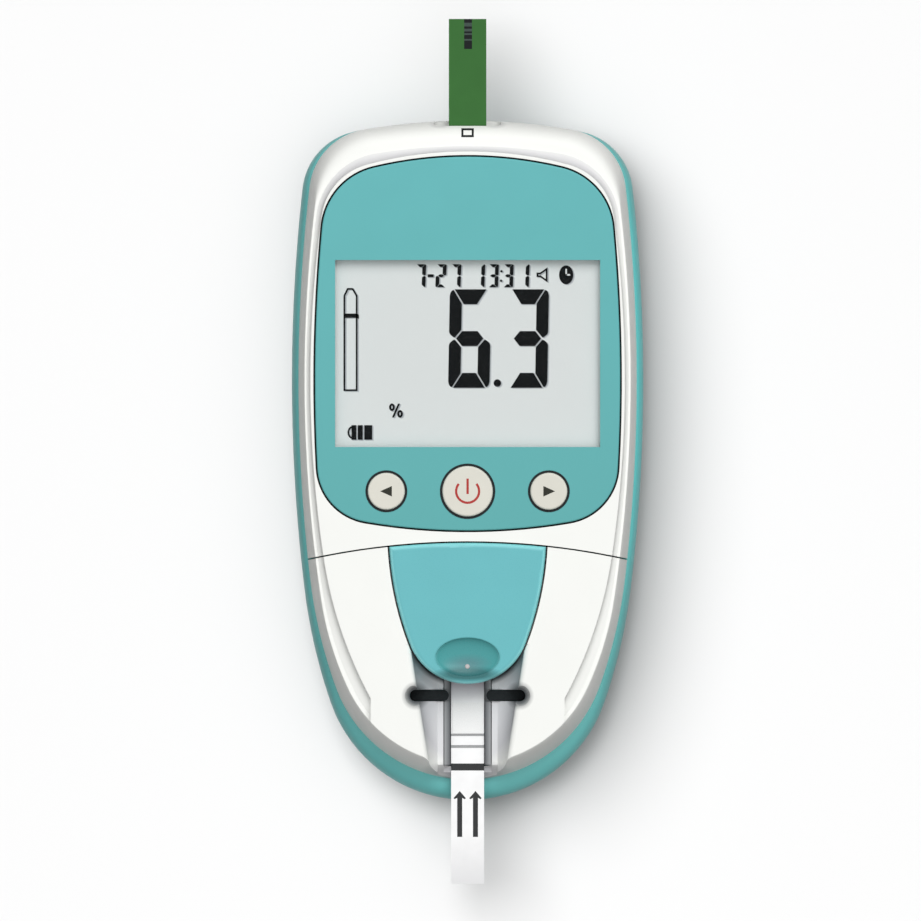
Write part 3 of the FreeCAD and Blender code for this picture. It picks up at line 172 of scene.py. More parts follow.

# A shade patch is a soft oval of painted shade; a fade starts at another colour and ends at the finish's own
ShadePatch = namedtuple("ShadePatch", "spot half_w half_l soft code")
Fade = namedtuple("Fade", "axis start end code")


# Colours and shader nodes
def linear(code, factor=1.0):
    """The linear colour of a hex code, by the sRGB curve."""
    rgb = []
    for start in (0, 2, 4):
        value = int(code[start:start + 2], 16) / 255
        value = ((value + 0.055) / 1.055) ** 2.4 if value > 0.04045 else value / 12.92
        rgb.append(min(value * factor, 1.0))
    return (*rgb, 1.0)


def stops_of(tones):
    return [(where, linear(code)) for where, code in tones]


class Finish:
    """A node material with one principled shader and short calls that feed its sockets."""

    def __init__(self, name):
        self.material = bpy.data.materials.new(name)
        self.material.use_nodes = True
        self.tree = self.material.node_tree
        self.tree.nodes.clear()
        out = self.tree.nodes.new("ShaderNodeOutputMaterial")
        self.shader = self.tree.nodes.new("ShaderNodeBsdfPrincipled")
        self.link(self.shader.outputs["BSDF"], out.inputs["Surface"])
        coords = self.tree.nodes.new("ShaderNodeTexCoord")
        self.place = coords.outputs["Object"]
        self.facing = coords.outputs["Normal"]

    def link(self, source, target):
        self.tree.links.new(source, target)

    def node(self, kind, **values):
        made = self.tree.nodes.new(kind)
        for key, value in values.items():
            made.inputs[key.replace("_", " ")].default_value = value
        return made

    def set(self, **values):
        for key, value in values.items():
            self.shader.inputs[key.replace("_", " ")].default_value = value
        return self

    def feed(self, source, socket):
        self.link(source, self.shader.inputs[socket])
        return self

    def noise(self, size, detail=2.0, stretch=None):
        made = self.node("ShaderNodeTexNoise", Scale=1.0 / size, Detail=detail)
        source = self.place
        if stretch:
            mapping = self.node("ShaderNodeMapping", Scale=stretch)
            self.link(source, mapping.inputs["Vector"])
            source = mapping.outputs["Vector"]
        self.link(source, made.inputs["Vector"])
        return made.outputs[0]

    def along(self, axis, low, high):
        """None at the first place on an axis, one at the second."""
        return self.span(self.part_of(self.place, axis), low, high, 0.0, 1.0)

    def slope(self, flat, steep):
        """None where the surface faces up by the first share or more, one where by the second or less."""
        return self.span(self.part_of(self.facing, "Z"), flat, steep, 0.0, 1.0)

    def part_of(self, vector, axis):
        split = self.node("ShaderNodeSeparateXYZ")
        self.link(vector, split.inputs[0])
        return split.outputs[axis]

    def times(self, first, second):
        made = self.tree.nodes.new("ShaderNodeMath")
        made.operation = "MULTIPLY"
        self.link(first, made.inputs[0])
        self.link(second, made.inputs[1])
        return made.outputs[0]

    def patch(self, spot, half_w, half_l, soft):
        """One inside an oval that stands upright at a place, fading to none over its soft edge."""
        centred = self.node("ShaderNodeMapping", Location=(-spot[0] / half_w, -spot[1] / half_l, 0.0),
                            Scale=(1.0 / half_w, 1.0 / half_l, 0.0))
        self.link(self.place, centred.inputs["Vector"])
        far = self.tree.nodes.new("ShaderNodeVectorMath")
        far.operation = "LENGTH"
        self.link(centred.outputs["Vector"], far.inputs[0])
        return self.span(far.outputs["Value"], 1.0 - soft, 1.0 + soft, 1.0, 0.0)

    def span(self, source, low, high, to_low, to_high):
        made = self.node("ShaderNodeMapRange", From_Min=low, From_Max=high, To_Min=to_low, To_Max=to_high)
        self.link(source, made.inputs["Value"])
        return made.outputs["Result"]

    def spread(self, noise, low, high):
        """A noise stretched to run between two values."""
        return self.span(noise, NOISE_LOW, NOISE_HIGH, low, high)

    def ramp(self, source, stops, steps=False):
        made = self.tree.nodes.new("ShaderNodeValToRGB")
        if steps:
            made.color_ramp.interpolation = "CONSTANT"
        band = made.color_ramp.elements
        while len(band) < len(stops):
            band.new(1.0)
        for element, (where, colour) in zip(band, stops):
            element.position = where
            element.color = colour
        self.link(source, made.inputs["Fac"])
        return made.outputs["Color"]

    def tones(self, noise, first, second):
        """One colour that runs into another with a noise."""
        return self.ramp(noise, [(NOISE_LOW, first), (NOISE_HIGH, second)])

    def shades(self, noise, code, darkest, lightest):
        """One colour that runs from darker to lighter with a noise."""
        return self.tones(noise, linear(code, darkest), linear(code, lightest))

    def mix(self, share, first, second):
        made = self.tree.nodes.new("ShaderNodeMix")
        made.data_type = "RGBA"
        self.link(share, made.inputs["Factor"])
        colours = [socket for socket in made.inputs if socket.type == "RGBA"]
        for source, socket in zip((first, second), colours):
            if hasattr(source, "is_output"):
                self.link(source, socket)
            else:
                socket.default_value = source
        return [socket for socket in made.outputs if socket.type == "RGBA"][0]

    def roughen(self, noise, low, high):
        return self.feed(self.spread(noise, low, high), "Roughness")

    def bump(self, source, depth):
        made = self.node("ShaderNodeBump", Strength=1.0, Distance=depth)
        self.link(source, made.inputs["Height"])
        return self.feed(made.outputs["Normal"], "Normal")


def moulded(name, code, rough, drift=0.025, drift_size=9 * MM, grain=0.0015 * MM, grain_size=0.25 * MM,
            gloss=0.25, fades=(), shade_patches=(), edge=None, shade=None):
    """Moulded plastic: the colour drifts slightly and a fine grain breaks the gloss."""
    made = Finish(name).set(Specular_IOR_Level=gloss)
    cloud = made.noise(drift_size, detail=3.0)
    tone = made.shades(cloud, code, darkest=1 - drift, lightest=1 + drift)
    for fade in fades:
        tone = made.mix(made.along(fade.axis, fade.start, fade.end), linear(fade.code), tone)
    if edge:
        # Painted highlight: a lighter colour on faces that slope away from upright, as on the lid's rounded
        # edges
        tone = made.mix(made.slope(*HIGHLIGHT_SLOPE), tone, linear(edge))
    if shade:
        tone = shade(made, tone)
    # Each shade patch paints shade in a soft oval
    for shade_patch in shade_patches:
        share = made.patch(shade_patch.spot, shade_patch.half_w, shade_patch.half_l, shade_patch.soft)
        tone = made.mix(share, tone, linear(shade_patch.code))
    made.feed(tone, "Base Color")
    speck = made.noise(grain_size, detail=4.0)
    made.roughen(speck, rough - GRAIN_ROUGH, rough + GRAIN_ROUGH)
    return made.bump(speck, grain)


def rubber(name, code):
    """Soft matt rubber with a dusty speckle."""
    made = Finish(name).set(Specular_IOR_Level=0.2)
    speck = made.noise(0.12 * MM, detail=5.0)
    dust = [(where, linear(code, factor)) for where, factor in RUBBER_DUST]
    made.feed(made.ramp(speck, dust), "Base Color")
    made.roughen(made.noise(0.6 * MM), low=0.62, high=0.82)
    return made.bump(speck, depth=0.006 * MM)


def metal(name, code, rough, stretch):
    """Drawn or stamped metal with fine lines along one way."""
    made = Finish(name).set(Metallic=1.0)
    lines = made.noise(0.08 * MM, detail=3.0, stretch=stretch)
    made.feed(made.shades(lines, code, darkest=0.86, lightest=1.08), "Base Color")
    made.roughen(lines, low=rough - 0.08, high=rough + 0.1)
    return made.bump(lines, depth=0.001 * MM)


def ink(name, code, rough=0.5):
    """Printed ink with a faint speckle."""
    made = Finish(name).set(Specular_IOR_Level=0.1)
    speck = made.noise(0.18 * MM, detail=3.0)
    made.feed(made.shades(speck, code, darkest=0.88, lightest=1.12), "Base Color")
    made.roughen(speck, rough - GRAIN_ROUGH, rough + GRAIN_ROUGH)
    return made


def clear(name, code, alpha, rough):
    """Clear hard plastic or glass: thin, with slight handling marks in its gloss."""
    made = Finish(name).set(Alpha=alpha)
    haze = made.noise(5 * MM, detail=4.0)
    made.feed(made.shades(haze, code, darkest=0.97, lightest=1.0), "Base Color")
    made.roughen(haze, low=rough, high=rough + 0.05)
    return made


def display_film():
    """Grey display film with a fine sparkle."""
    made = Finish("lcd_grey").set(Specular_IOR_Level=0.15)
    sparkle = made.noise(0.07 * MM)
    cloud = made.noise(12 * MM)
    tone = made.tones(sparkle, linear("e0e5e4"), linear("eaefee"))
    tone = made.mix(made.spread(cloud, low=0.0, high=0.25), tone, linear("e3e9e8"))
    made.feed(tone, "Base Color")
    made.roughen(sparkle, low=0.45, high=0.6)
    return made


def circuit_board():
    """Solder mask over a maze of copper tracks, with the weave showing through."""
    made = Finish("board_green")
    tracks = made.node("ShaderNodeTexBrick", Scale=1.0, Mortar_Size=0.16 * MM, Brick_Width=3.2 * MM,
                       Row_Height=0.9 * MM, Color1=linear("0f5a34"), Color2=linear("0c4f2d"),
                       Mortar=linear("2c8a55"))
    made.link(made.place, tracks.inputs["Vector"])
    weave = made.noise(0.2 * MM)
    tone = made.mix(made.spread(weave, low=0.0, high=0.2), tracks.outputs["Color"], linear("1b6b3f"))
    made.feed(tone, "Base Color")
    made.roughen(weave, low=0.28, high=0.42)
    return made.bump(tracks.outputs["Fac"], depth=0.02 * MM)


def striped(name, axis, pitch, first, second, rough):
    """Even stripes across one way, as on a layered connector or a flat cable."""
    made = Finish(name)
    wave = made.node("ShaderNodeTexWave", Scale=2 * math.pi / WAVE_RATE / pitch, Distortion=0.0)
    wave.bands_direction = axis
    made.link(made.place, wave.inputs["Vector"])
    made.feed(made.ramp(wave.outputs["Fac"], [(0.45, linear(first)), (0.55, linear(second))]), "Base Color")
    made.roughen(made.noise(0.3 * MM), low=rough - 0.08, high=rough + 0.08)
    return made


def cell_sleeve():
    """Shrink sleeve in two plain tones with bare metal at the ends."""
    low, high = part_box("battery_cell_1")
    made = Finish("cell_wrap")
    bands = made.ramp(made.along("Y", low.y, high.y), stops_of(SLEEVE_BANDS), steps=True)
    wear = made.noise(0.4 * MM, detail=3.0)
    made.feed(made.mix(made.span(wear, *SLEEVE_WEAR, 0.0, 0.12), bands, linear("8d9294")), "Base Color")
    made.roughen(wear, low=0.25, high=0.38)
    return made


def paper():
    """Absorbent paper with short fibres."""
    made = Finish("sample_paper").set(Specular_IOR_Level=0.1)
    fibres = made.noise(0.09 * MM, detail=5.0, stretch=(1.0, 0.35, 1.0))
    made.feed(made.tones(fibres, linear("f2f2f1"), linear("fdfdfc")), "Base Color")
    made.roughen(fibres, low=0.7, high=0.9)
    return made.bump(fibres, depth=0.01 * MM)


def strip_film():
    """White film that greys a little towards its outer end, and more where it runs in under the lid, a
    painted shadow of the lid.
    """
    outer_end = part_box("test_strip")[0].y
    lid_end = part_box("strip_lid")[0].y
    made = Finish("strip_white").set(Specular_IOR_Level=0.2)
    cloud = made.noise(2.5 * MM, detail=3.0)
    tone = made.tones(cloud, linear("f9f9f9"), linear("ffffff"))
    tone = made.mix(made.along("Y", outer_end + STRIP_END_FADE, outer_end), tone, linear("e6e6e7"))
    # Painted shadow of the lid on the strip where it runs in under it
    tone = made.mix(made.along("Y", lid_end - STRIP_LID_SHADOW, lid_end), tone, linear("bcb9c0"))
    made.feed(tone, "Base Color")
    made.roughen(cloud, low=0.4, high=0.52)
    return made


def shell_painted_light():
    """Painted light: the teal shell is lighter along its right side and at its tail."""
    low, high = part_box("bottom_case")
    side = Fade("X", high.x, high.x - SIDE_LIGHT_FADE, code="65cfcf")
    tail = Fade("Y", low.y, low.y + TAIL_LIGHT_FADE, code="78cfcd")
    return (side, tail)


def bezel_fades():
    low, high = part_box("display_bezel")
    return (Fade("Y", low.y, high.y, code="60b0b0"),)


def scoop_shade():
    """Painted shade in the thumb scoop: its bowl, a duller middle and a dark crescent along its lower edge.
    """
    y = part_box("strip_lid")[0].y + SCOOP_IN
    third = SCOOP_HALF_L / 3
    bowl = ShadePatch((0.0, y), SCOOP_HALF_W, SCOOP_HALF_L, soft=0.06, code="4b9d9e")
    middle = ShadePatch((0.0, y - third), SCOOP_HALF_W / 2, third, soft=0.6, code="568c90")
    crescent = ShadePatch((0.0, y - SCOOP_LOW), SCOOP_LOW_HALF_W, SCOOP_LOW_HALF_L, soft=0.3, code="3c7577")
    return (bowl, middle, crescent)


def finishes():
    """One finish for each material slot of the record."""
    made = {
        # Painted light along the teal shell's right side and tail
        "teal_shell": moulded("teal_shell", "6bbab8", rough=0.42, fades=shell_painted_light()),
        "white_shell": moulded("white_shell", WHITE, **WHITE_LOOK),
        "bezel_teal": moulded("bezel_teal", "66babc", rough=0.34, drift=0.015, fades=bezel_fades()),
        # Painted shade in the lid's thumb scoop and a painted highlight on its sloping edges
        "lid_teal": moulded("lid_teal", "6dbfc5", rough=0.3, drift=0.015, shade_patches=scoop_shade(),
                            edge="8fdfe2"),
        "clear_pane": clear("clear_pane", "0e1214", alpha=0.03, rough=0.03),
        "lcd_grey": display_film(),
        "cream_cap": moulded("cream_cap", "e0ded3", rough=0.5, drift=0.02, drift_size=4 * MM,
                             grain=0.003 * MM, gloss=0.2),
        "black_rubber": rubber("black_rubber", "1d2224"),
        "grey_plastic": moulded("grey_plastic", "a9abad", rough=0.5),
        "black_plastic": moulded("black_plastic", "1b1d20", rough=0.48, drift=0.08, drift_size=3 * MM,
                                 grain=0.004 * MM),
        "board_green": circuit_board(),
        "chip_green": moulded("chip_green", "386d33", rough=0.42, drift=0.04, drift_size=5 * MM, gloss=0.15),
        "strip_white": strip_film(),
        "sample_paper": paper(),
        "steel": metal("steel", "c4c7ca", rough=0.32, stretch=(1.0, 0.08, 1.0)),
        "gold_contact": metal("gold_contact", "d9b25a", rough=0.26, stretch=(1.0, 0.1, 1.0)),
        "cell_wrap": cell_sleeve(),
        "led_clear": clear("led_clear", "e9f0f2", alpha=0.45, rough=0.06),
        "optic_glass": clear("optic_glass", "cfe0e4", alpha=0.3, rough=0.02),
        "elastomer": striped("elastomer", "X", 0.1 * MM, "26282a", "b9b6ad", rough=0.6),
        "flat_cable": striped("flat_cable", "X", 0.5 * MM, "e6e3da", "b88f4c", rough=0.4),
    }
    return {slot: finish.material for slot, finish in made.items()}


def trough_shade(made, tone):
    """Greys the walls and the floor of the trough, up to the brow where they turn over."""
    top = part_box("nose_cover")[1].z
    lid_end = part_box("strip_lid")[0].y
    below = made.along("Z", top - TROUGH_BROW[0], top - TROUGH_BROW[1])
    within = made.patch((0.0, lid_end + TROUGH_BACK), TROUGH_HALF_W, TROUGH_HALF_L, TROUGH_SOFT)
    greys = made.ramp(made.along("Z", top - TROUGH_DEPTH, top), stops_of(TROUGH_TONES))
    tone = made.mix(made.times(below, within), tone, greys)
    # Painted shadow of the lid round its tip, below the brow
    tip = made.patch((0.0, lid_end + LID_TIP_IN), LID_TIP_HALF_W, LID_TIP_HALF_L, LID_TIP_SOFT)
    return made.mix(made.times(below, tip), tone, linear(LID_TIP_SHADOW))


def nose_finish():
    """The white shell's finish with shade in the trough, on its lip and in the pads' mouths."""
    low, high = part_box("guide_pads")
    lip_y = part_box("nose_cover")[0].y + LIP_IN
    shade_patches = [ShadePatch((0.0, lip_y), LIP_HALF_W, LIP_HALF_L, soft=0.4, code="b4b4b7")]
    for x in (low.x + MOUTH_IN, high.x - MOUTH_IN):
        spot = (x, (low.y + high.y) / 2)
        shade_patches.append(ShadePatch(spot, MOUTH_R, MOUTH_R, soft=0.35, code="6e7173"))
    return moulded("nose_white", WHITE, shade_patches=shade_patches, shade=trough_shade, **WHITE_LOOK).material


def cove_shade(made, tone):
    """Greys the cove that rises from the ledge to the raised face, towards the chip's end."""
    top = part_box("top_case")[1]
    greys = made.ramp(made.along("Z", top.z - COVE_RISE[0], top.z - COVE_RISE[1]), stops_of(COVE_TONES))
    below = made.along("Z", top.z - COVE_BROW[0], top.z - COVE_BROW[1])
    near = made.along("Y", top.y - COVE_SPAN[1], top.y - COVE_SPAN[0])
    return made.mix(made.times(below, near), tone, greys)


def top_finish():
    """The white shell's finish with shade in the cove and in the chip's port."""
    port_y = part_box("top_case")[1].y - PORT_IN
    shade_patches = []
    for side in (-1, 1):
        shade_patches.append(ShadePatch((side * PORT_SIDE, port_y), PORT_HALF_W, PORT_HALF_L, soft=0.35, code="dededc"))
    return moulded("top_white", WHITE, shade_patches=shade_patches, shade=cove_shade, **WHITE_LOOK).material


def tray_finish():
    # Painted shade in the tray's groove where the strip lies
    groove = ShadePatch((0.0, 0.0), GROOVE_HALF_W, GROOVE_HALF_L, soft=0.14, code="606265")
    return moulded("tray_grey", "a6a8aa", rough=0.55, shade_patches=[groove]).material


SLOTS = finishes()
OWN_FINISHES = {
    "top_case": top_finish(),
    "nose_cover": nose_finish(),
    "strip_tray": tray_finish(),
    "lid_hinge_pins": metal("dark_steel", "3a3d40", rough=0.45, stretch=(0.08, 1.0, 1.0)).material,
}
for part in frame["record"]["subparts"]:
    solid = frame["nodes"][part["node"]]
    solid.data.materials.clear()
    solid.data.materials.append(OWN_FINISHES.get(part["node"], SLOTS[part["material_slot"]]))

BLACK_INK = ink("black_ink", "1b1e1f").material
SEGMENT_INK = ink("segment_ink", "04080a", rough=0.4).material
# The two segment shade finishes paint the marks' shadows on the display film
SEGMENT_SHADOWS = (ink("segment_shade_near", "a7acaf").material, ink("segment_shade_far", "c3c8cb").material)
RED_INK = ink("red_ink", "b5403c").material
DARK_INK = ink("arrow_ink", "35362f").material
CODE_GREY = ink("code_grey", "44524c").material
STRIP_INK = ink("strip_ink", "3b3c3d").material
LINE_INK = ink("line_ink", "a2a3a4").material
PIP_GREY = moulded("pip_grey", "c3bdbd", rough=0.4).material


# Outlines in millimetres
def circle(middle, r, steps=ARC_STEPS):
    return oval(middle, r, r, steps)


def oval(middle, half_w, half_h, steps=ARC_STEPS):
    turns = [2 * math.pi * i / steps for i in range(steps)]
    return [(middle[0] + half_w * math.cos(a), middle[1] + half_h * math.sin(a)) for a in turns]


def bar(x0, x1, y0, y1):
    return [(x0, y0), (x1, y0), (x1, y1), (x0, y1)]


def arc_band(middle, r, line, start, end, steps=ARC_STEPS):
    """A stretch of a ring between two angles in degrees."""
    outer, inner = [], []
    for i in range(steps + 1):
        a = math.radians(start + (end - start) * i / steps)
        outer.append((middle[0] + (r + line / 2) * math.cos(a), middle[1] + (r + line / 2) * math.sin(a)))
        inner.append((middle[0] + (r - line / 2) * math.cos(a), middle[1] + (r - line / 2) * math.sin(a)))
    return outer + inner[::-1]


def area(outline):
    pairs = zip(outline, outline[1:] + outline[:1])
    return sum(ax * by - bx * ay for (ax, ay), (bx, by) in pairs) / 2


def inside(outline, line):
    """The same outline moved in by the line's width."""
    sign = 1 if area(outline) > 0 else -1
    count = len(outline)
    moved = []
    for i in range(count):
        here = Vector(outline[i])
        back = (here - Vector(outline[i - 1])).normalized()
        ahead = (Vector(outline[(i + 1) % count]) - here).normalized()
        left_back = Vector((-back.y, back.x)) * sign
        left_ahead = Vector((-ahead.y, ahead.x)) * sign
        corner = left_back + left_ahead
        moved.append(tuple(here + corner * (line / (1 + left_back.dot(left_ahead)))))
    return moved


def finely(outline):
    """The same outline with each side cut into short steps, so that it follows a curved surface."""
    points = []
    for (ax, ay), (bx, by) in zip(outline, outline[1:] + outline[:1]):
        shares = [i / FINE_STEPS for i in range(FINE_STEPS)]
        points += [(ax + (bx - ax) * share, ay + (by - ay) * share) for share in shares]
    return points


def digit(figure, x, y, width, height, stem, thick, lean):
    """The lit segments of one figure, drawn as mitred outlines."""
    middle = height / 2

    def mirrored(points):
        return [(width - px, py) for px, py in points]

    def flipped(points):
        return [(px, height - py) for px, py in points]

    top = [(BAR_CORNER * stem, height), (BAR_SHOULDER * stem, height - thick)]
    top = top + mirrored(top)[::-1]
    cross = [(CROSS_SHOULDER * stem, middle - thick / 2), (CROSS_TIP * stem, middle)]
    cross.append((CROSS_SHOULDER * stem, middle + thick / 2))
    cross = cross + mirrored(cross)[::-1]
    side = [(share * stem, middle + rise * thick) for share, rise in STEM_FOOT]
    side += [(share * stem, height - drop * thick) for share, drop in STEM_HEAD]
    segments = {
        "A": top,
        "B": mirrored(side),
        "C": flipped(mirrored(side)),
        "D": flipped(top),
        "E": flipped(side),
        "F": side,
        "G": cross,
    }
    lit = [segments[name] for name in LIT_SEGMENTS[figure]]
    return [[(x + px + lean * py, y + py) for px, py in outline] for outline in lit]


# Solids
def flat_ground(z):
    return lambda x, y: z


def surface_of(node):
    """Gives the height of a node's upper surface at a place."""
    mesh = frame["nodes"][node].data
    tree = BVHTree.FromPolygons([v.co for v in mesh.vertices], [p.vertices for p in mesh.polygons])
    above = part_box(node)[1].z + MM

    def height(x, y):
        hit = tree.ray_cast(Vector((x, y, above)), Vector((0, 0, -1)))[0]
        return hit.z

    return height


def placed(outline, spot):
    """An outline moved to its spot, in metres, and turned to run anticlockwise."""
    points = [(spot[0] + x * MM, spot[1] + y * MM) for x, y in outline]
    return points if area(points) > 0 else points[::-1]


def add_walls(shape, low, high):
    for i in range(len(low)):
        shape.faces.new((low[i - 1], low[i], high[i], high[i - 1]))


def add_plate(shape, outline, spot, ground):
    """Adds a thin closed plate with this outline on the ground under it."""
    points = placed(outline, spot)
    low = [shape.verts.new((x, y, ground(x, y) - INK_SINK)) for x, y in points]
    high = [shape.verts.new((x, y, ground(x, y) + INK_T)) for x, y in points]
    shape.faces.new(low[::-1])
    shape.faces.new(high)
    add_walls(shape, low, high)


def add_frame(shape, outline, line, spot, ground):
    """Adds a thin closed ring that runs along the inside of an outline."""
    add_band(shape, outline, inside(outline, line), spot, ground)


def add_band(shape, outer, inner, spot, ground, thick=INK_T, sink=INK_SINK):
    """Adds a thin closed ring between two outlines with as many points."""
    loops = []
    for loop in (outer, inner):
        points = placed(loop, spot)
        loops.append([shape.verts.new((x, y, ground(x, y) - sink)) for x, y in points])
        loops.append([shape.verts.new((x, y, ground(x, y) + thick)) for x, y in points])
    outer_low, outer_high, inner_low, inner_high = loops
    add_walls(shape, outer_low, outer_high)
    add_walls(shape, inner_high, inner_low)
    add_walls(shape, outer_high, inner_high)
    add_walls(shape, inner_low, outer_low)


def piece(name, shape, material, body):
    """Makes a shape into an object that rides on a body."""
    mesh = bpy.data.meshes.new(name)
    shape.to_mesh(mesh)
    shape.free()
    mesh.materials.append(material)
    made = bpy.data.objects.new(name, mesh)
    bpy.context.scene.collection.objects.link(made)
    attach(made, body)
    return made


def printed(name, outlines, spot, ground, material, body):
    shape = bmesh.new()
    for outline in outlines:
        add_plate(shape, outline, spot, ground)
    piece(name, shape, material, body)


def middle_of(node):
    """The middle of a node from above, and the height of its top."""
    low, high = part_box(node)
    return ((low.x + high.x) / 2, (low.y + high.y) / 2), high.z


# Display
def big_digits():
    outlines = []
    for figure, x in BIG_PLACES:
        outlines += digit(figure, x, BIG_FOOT, **BIG_DIGIT)
    return outlines + [circle(POINT_SPOT, POINT_R)]


def small_digits():
    outlines = []
    for figure, x in SMALL_PLACES:
        outlines += digit(figure, x, SMALL_FOOT, **SMALL_DIGIT)
    middle = SMALL_FOOT + SMALL_DIGIT["height"] / 2
    half = SMALL_DIGIT["thick"] / 2
    outlines.append(bar(*DASH_SPAN, middle - half, middle + half))
    for rise in COLON_RISE:
        spot = (COLON_X + SMALL_DIGIT["lean"] * rise, SMALL_FOOT + rise)
        outlines.append(circle(spot, COLON_R, COLON_STEPS))
    return outlines


def gauge_outline():
    (left, right), (tip_left, tip_right) = GAUGE_SPAN, GAUGE_TIP_SPAN
    outline = [(left, GAUGE_FOOT), (right, GAUGE_FOOT), (right, GAUGE_SHOULDER)]
    return outline + [(tip_right, GAUGE_TIP), (tip_left, GAUGE_TIP), (left, GAUGE_SHOULDER)]


def cell_sign():
    """Three bars behind a round nose."""
    bars = [bar(*span, CELL_FOOT, CELL_HEAD) for span in CELL_BARS]
    r = (CELL_HEAD - CELL_FOOT) / 2
    middle = (CELL_NOSE + r, (CELL_FOOT + CELL_HEAD) / 2)
    return bars + [arc_band(middle, r - THIN_LINE / 2, THIN_LINE, *CELL_NOSE_ARC)]


def percent_slash():
    x, y = PERCENT_MIDDLE
    foot, head = y - PERCENT_H / 2, y + PERCENT_H / 2
    left, right = x - SLASH_RUN, x + SLASH_RUN
    outline = [(left - SLASH_HALF, foot), (left + SLASH_HALF, foot)]
    return outline + [(right + SLASH_HALF, head), (right - SLASH_HALF, head)]


def percent_rings():
    x, y = PERCENT_MIDDLE
    off_x, off_y = PERCENT_RING_OFF
    return [oval((x + side * off_x, y - side * off_y), *PERCENT_RING_HALF) for side in (-1, 1)]


def speaker_outline():
    back, front = SPEAKER_SPAN
    half = [(back, SPEAKER_NECK_HALF), (SPEAKER_NECK, SPEAKER_NECK_HALF), (front, SPEAKER_HALF)]
    lower = [(x, SPEAKER_Y - y) for x, y in half]
    upper = [(x, SPEAKER_Y + y) for x, y in reversed(half)]
    return lower + upper


def clock_hands():
    x, y = CLOCK_SPOT
    half = CLOCK_HAND_HALF
    long_hand = bar(x - half, x + half, y - half, y + CLOCK_LONG_HAND)
    short_hand = bar(x - half, x + CLOCK_SHORT_HAND, y - half, y + half)
    return [long_hand, short_hand]


def display_marks():
    """Dark marks on the display film, over softer offset copies of them that paint each mark's shadow on the
    film.
    """
    window = middle_of("display_window")[0]
    film_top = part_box("lcd_panel")[1].z
    marks = {
        "big_digits": big_digits(),
        "small_digits": small_digits(),
        "gauge_band": [bar(*GAUGE_SPAN, *GAUGE_BAND)],
        "cell_bars": cell_sign(),
        "percent_slash": [percent_slash()],
    }
    frames = {
        "gauge": [(gauge_outline(), THIN_LINE)],
        "speaker": [(speaker_outline(), THIN_LINE)],
        "percent_rings": [(ring, PERCENT_RING_LINE) for ring in percent_rings()],
    }
    clock = oval(CLOCK_SPOT, CLOCK_HALF_W, CLOCK_HALF_H)
    shade_count = len(SHADE_STEPS)
    layers = [flat_ground(film_top + i * INK_T) for i in range(shade_count + 2)]
    top = layers[shade_count]
    for name, outlines in marks.items():
        printed("lcd_" + name, outlines, window, top, SEGMENT_INK, "case")
    for name, rings in frames.items():
        shape = bmesh.new()
        for outline, line in rings:
            add_frame(shape, outline, line, window, top)
        piece("lcd_" + name, shape, SEGMENT_INK, "case")
    printed("lcd_clock", [clock], window, top, SEGMENT_INK, "case")
    printed("lcd_clock_hands", clock_hands(), window, layers[shade_count + 1], SLOTS["lcd_grey"], "case")
    solid_marks = [outline for outlines in marks.values() for outline in outlines] + [clock]
    for i, (dx, dy) in enumerate(SHADE_STEPS):
        spot = (window[0] + dx * MM, window[1] + dy * MM)
        layer = layers[shade_count - 1 - i]
        shape = bmesh.new()
        for outline in solid_marks:
            add_plate(shape, outline, spot, layer)
        for rings in frames.values():
            for outline, line in rings:
                add_frame(shape, outline, line, spot, layer)
        piece(f"lcd_shade_{i + 1}", shape, SEGMENT_SHADOWS[i], "case")


# Buttons
def button_marks():
    for name, way in (("left", -1), ("right", 1)):
        spot, top = middle_of(name + "_button")
        arrow = [(way * ARROW_TIP, 0), (-way * ARROW_BACK, ARROW_HALF), (-way * ARROW_BACK, -ARROW_HALF)]
        printed(name + "_arrow", [arrow], spot, flat_ground(top), DARK_INK, name + "_button")
    spot, top = middle_of("power_button")
    half = POWER_LINE / 2
    sign = [arc_band((0, 0), POWER_RING_R, POWER_LINE, *POWER_ARC), bar(-half, half, *POWER_BAR)]
    printed("power_sign", sign, spot, flat_ground(top), RED_INK, "power_button")


# Strip and chip
def strip_arrow(x):
    shaft, wing = STRIP_SHAFT_HALF, STRIP_ARROW_HALF
    neck = STRIP_ARROW_BARB + STRIP_BARB_T * shaft / wing
    barb = (wing * STRIP_BARB_IN, STRIP_ARROW_BARB - STRIP_BARB_T)
    right = [(0, STRIP_ARROW_TIP), (wing, STRIP_ARROW_BARB), barb, (shaft, neck), (shaft, STRIP_ARROW_FOOT)]
    left = [(-px, py) for px, py in reversed(right[1:])]
    return [(x + px, py) for px, py in right + left]


def strip_marks():
    low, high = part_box("test_strip")
    half = high.x / MM
    spot, ground = (0, low.y), flat_ground(high.z)
    band = [bar(-half, half, *BAND_SPAN)]
    printed("strip_band", band, spot, ground, STRIP_INK, "strip")
    lines = [bar(-half, half, *span) for span in STRIP_LINES]
    printed("strip_lines", lines, spot, ground, LINE_INK, "strip")
    arrows = [strip_arrow(x) for x in (-STRIP_ARROW_X, STRIP_ARROW_X)]
    printed("strip_arrows", arrows, spot, ground, STRIP_INK, "strip")


def chip_marks():
    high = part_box("code_chip")[1]
    spot = (CODE_X * MM, high.y)
    track = [bar(-CODE_HALF, CODE_HALF, -CODE_L, -CODE_EDGE)]
    printed("code_track", track, spot, flat_ground(high.z), CODE_GREY, "chip")
    bars = [bar(-CODE_HALF, CODE_HALF, -end, -max(start, CODE_EDGE)) for start, end in CODE_BARS]
    printed("code_bars", bars, spot, flat_ground(high.z + INK_T), BLACK_INK, "chip")


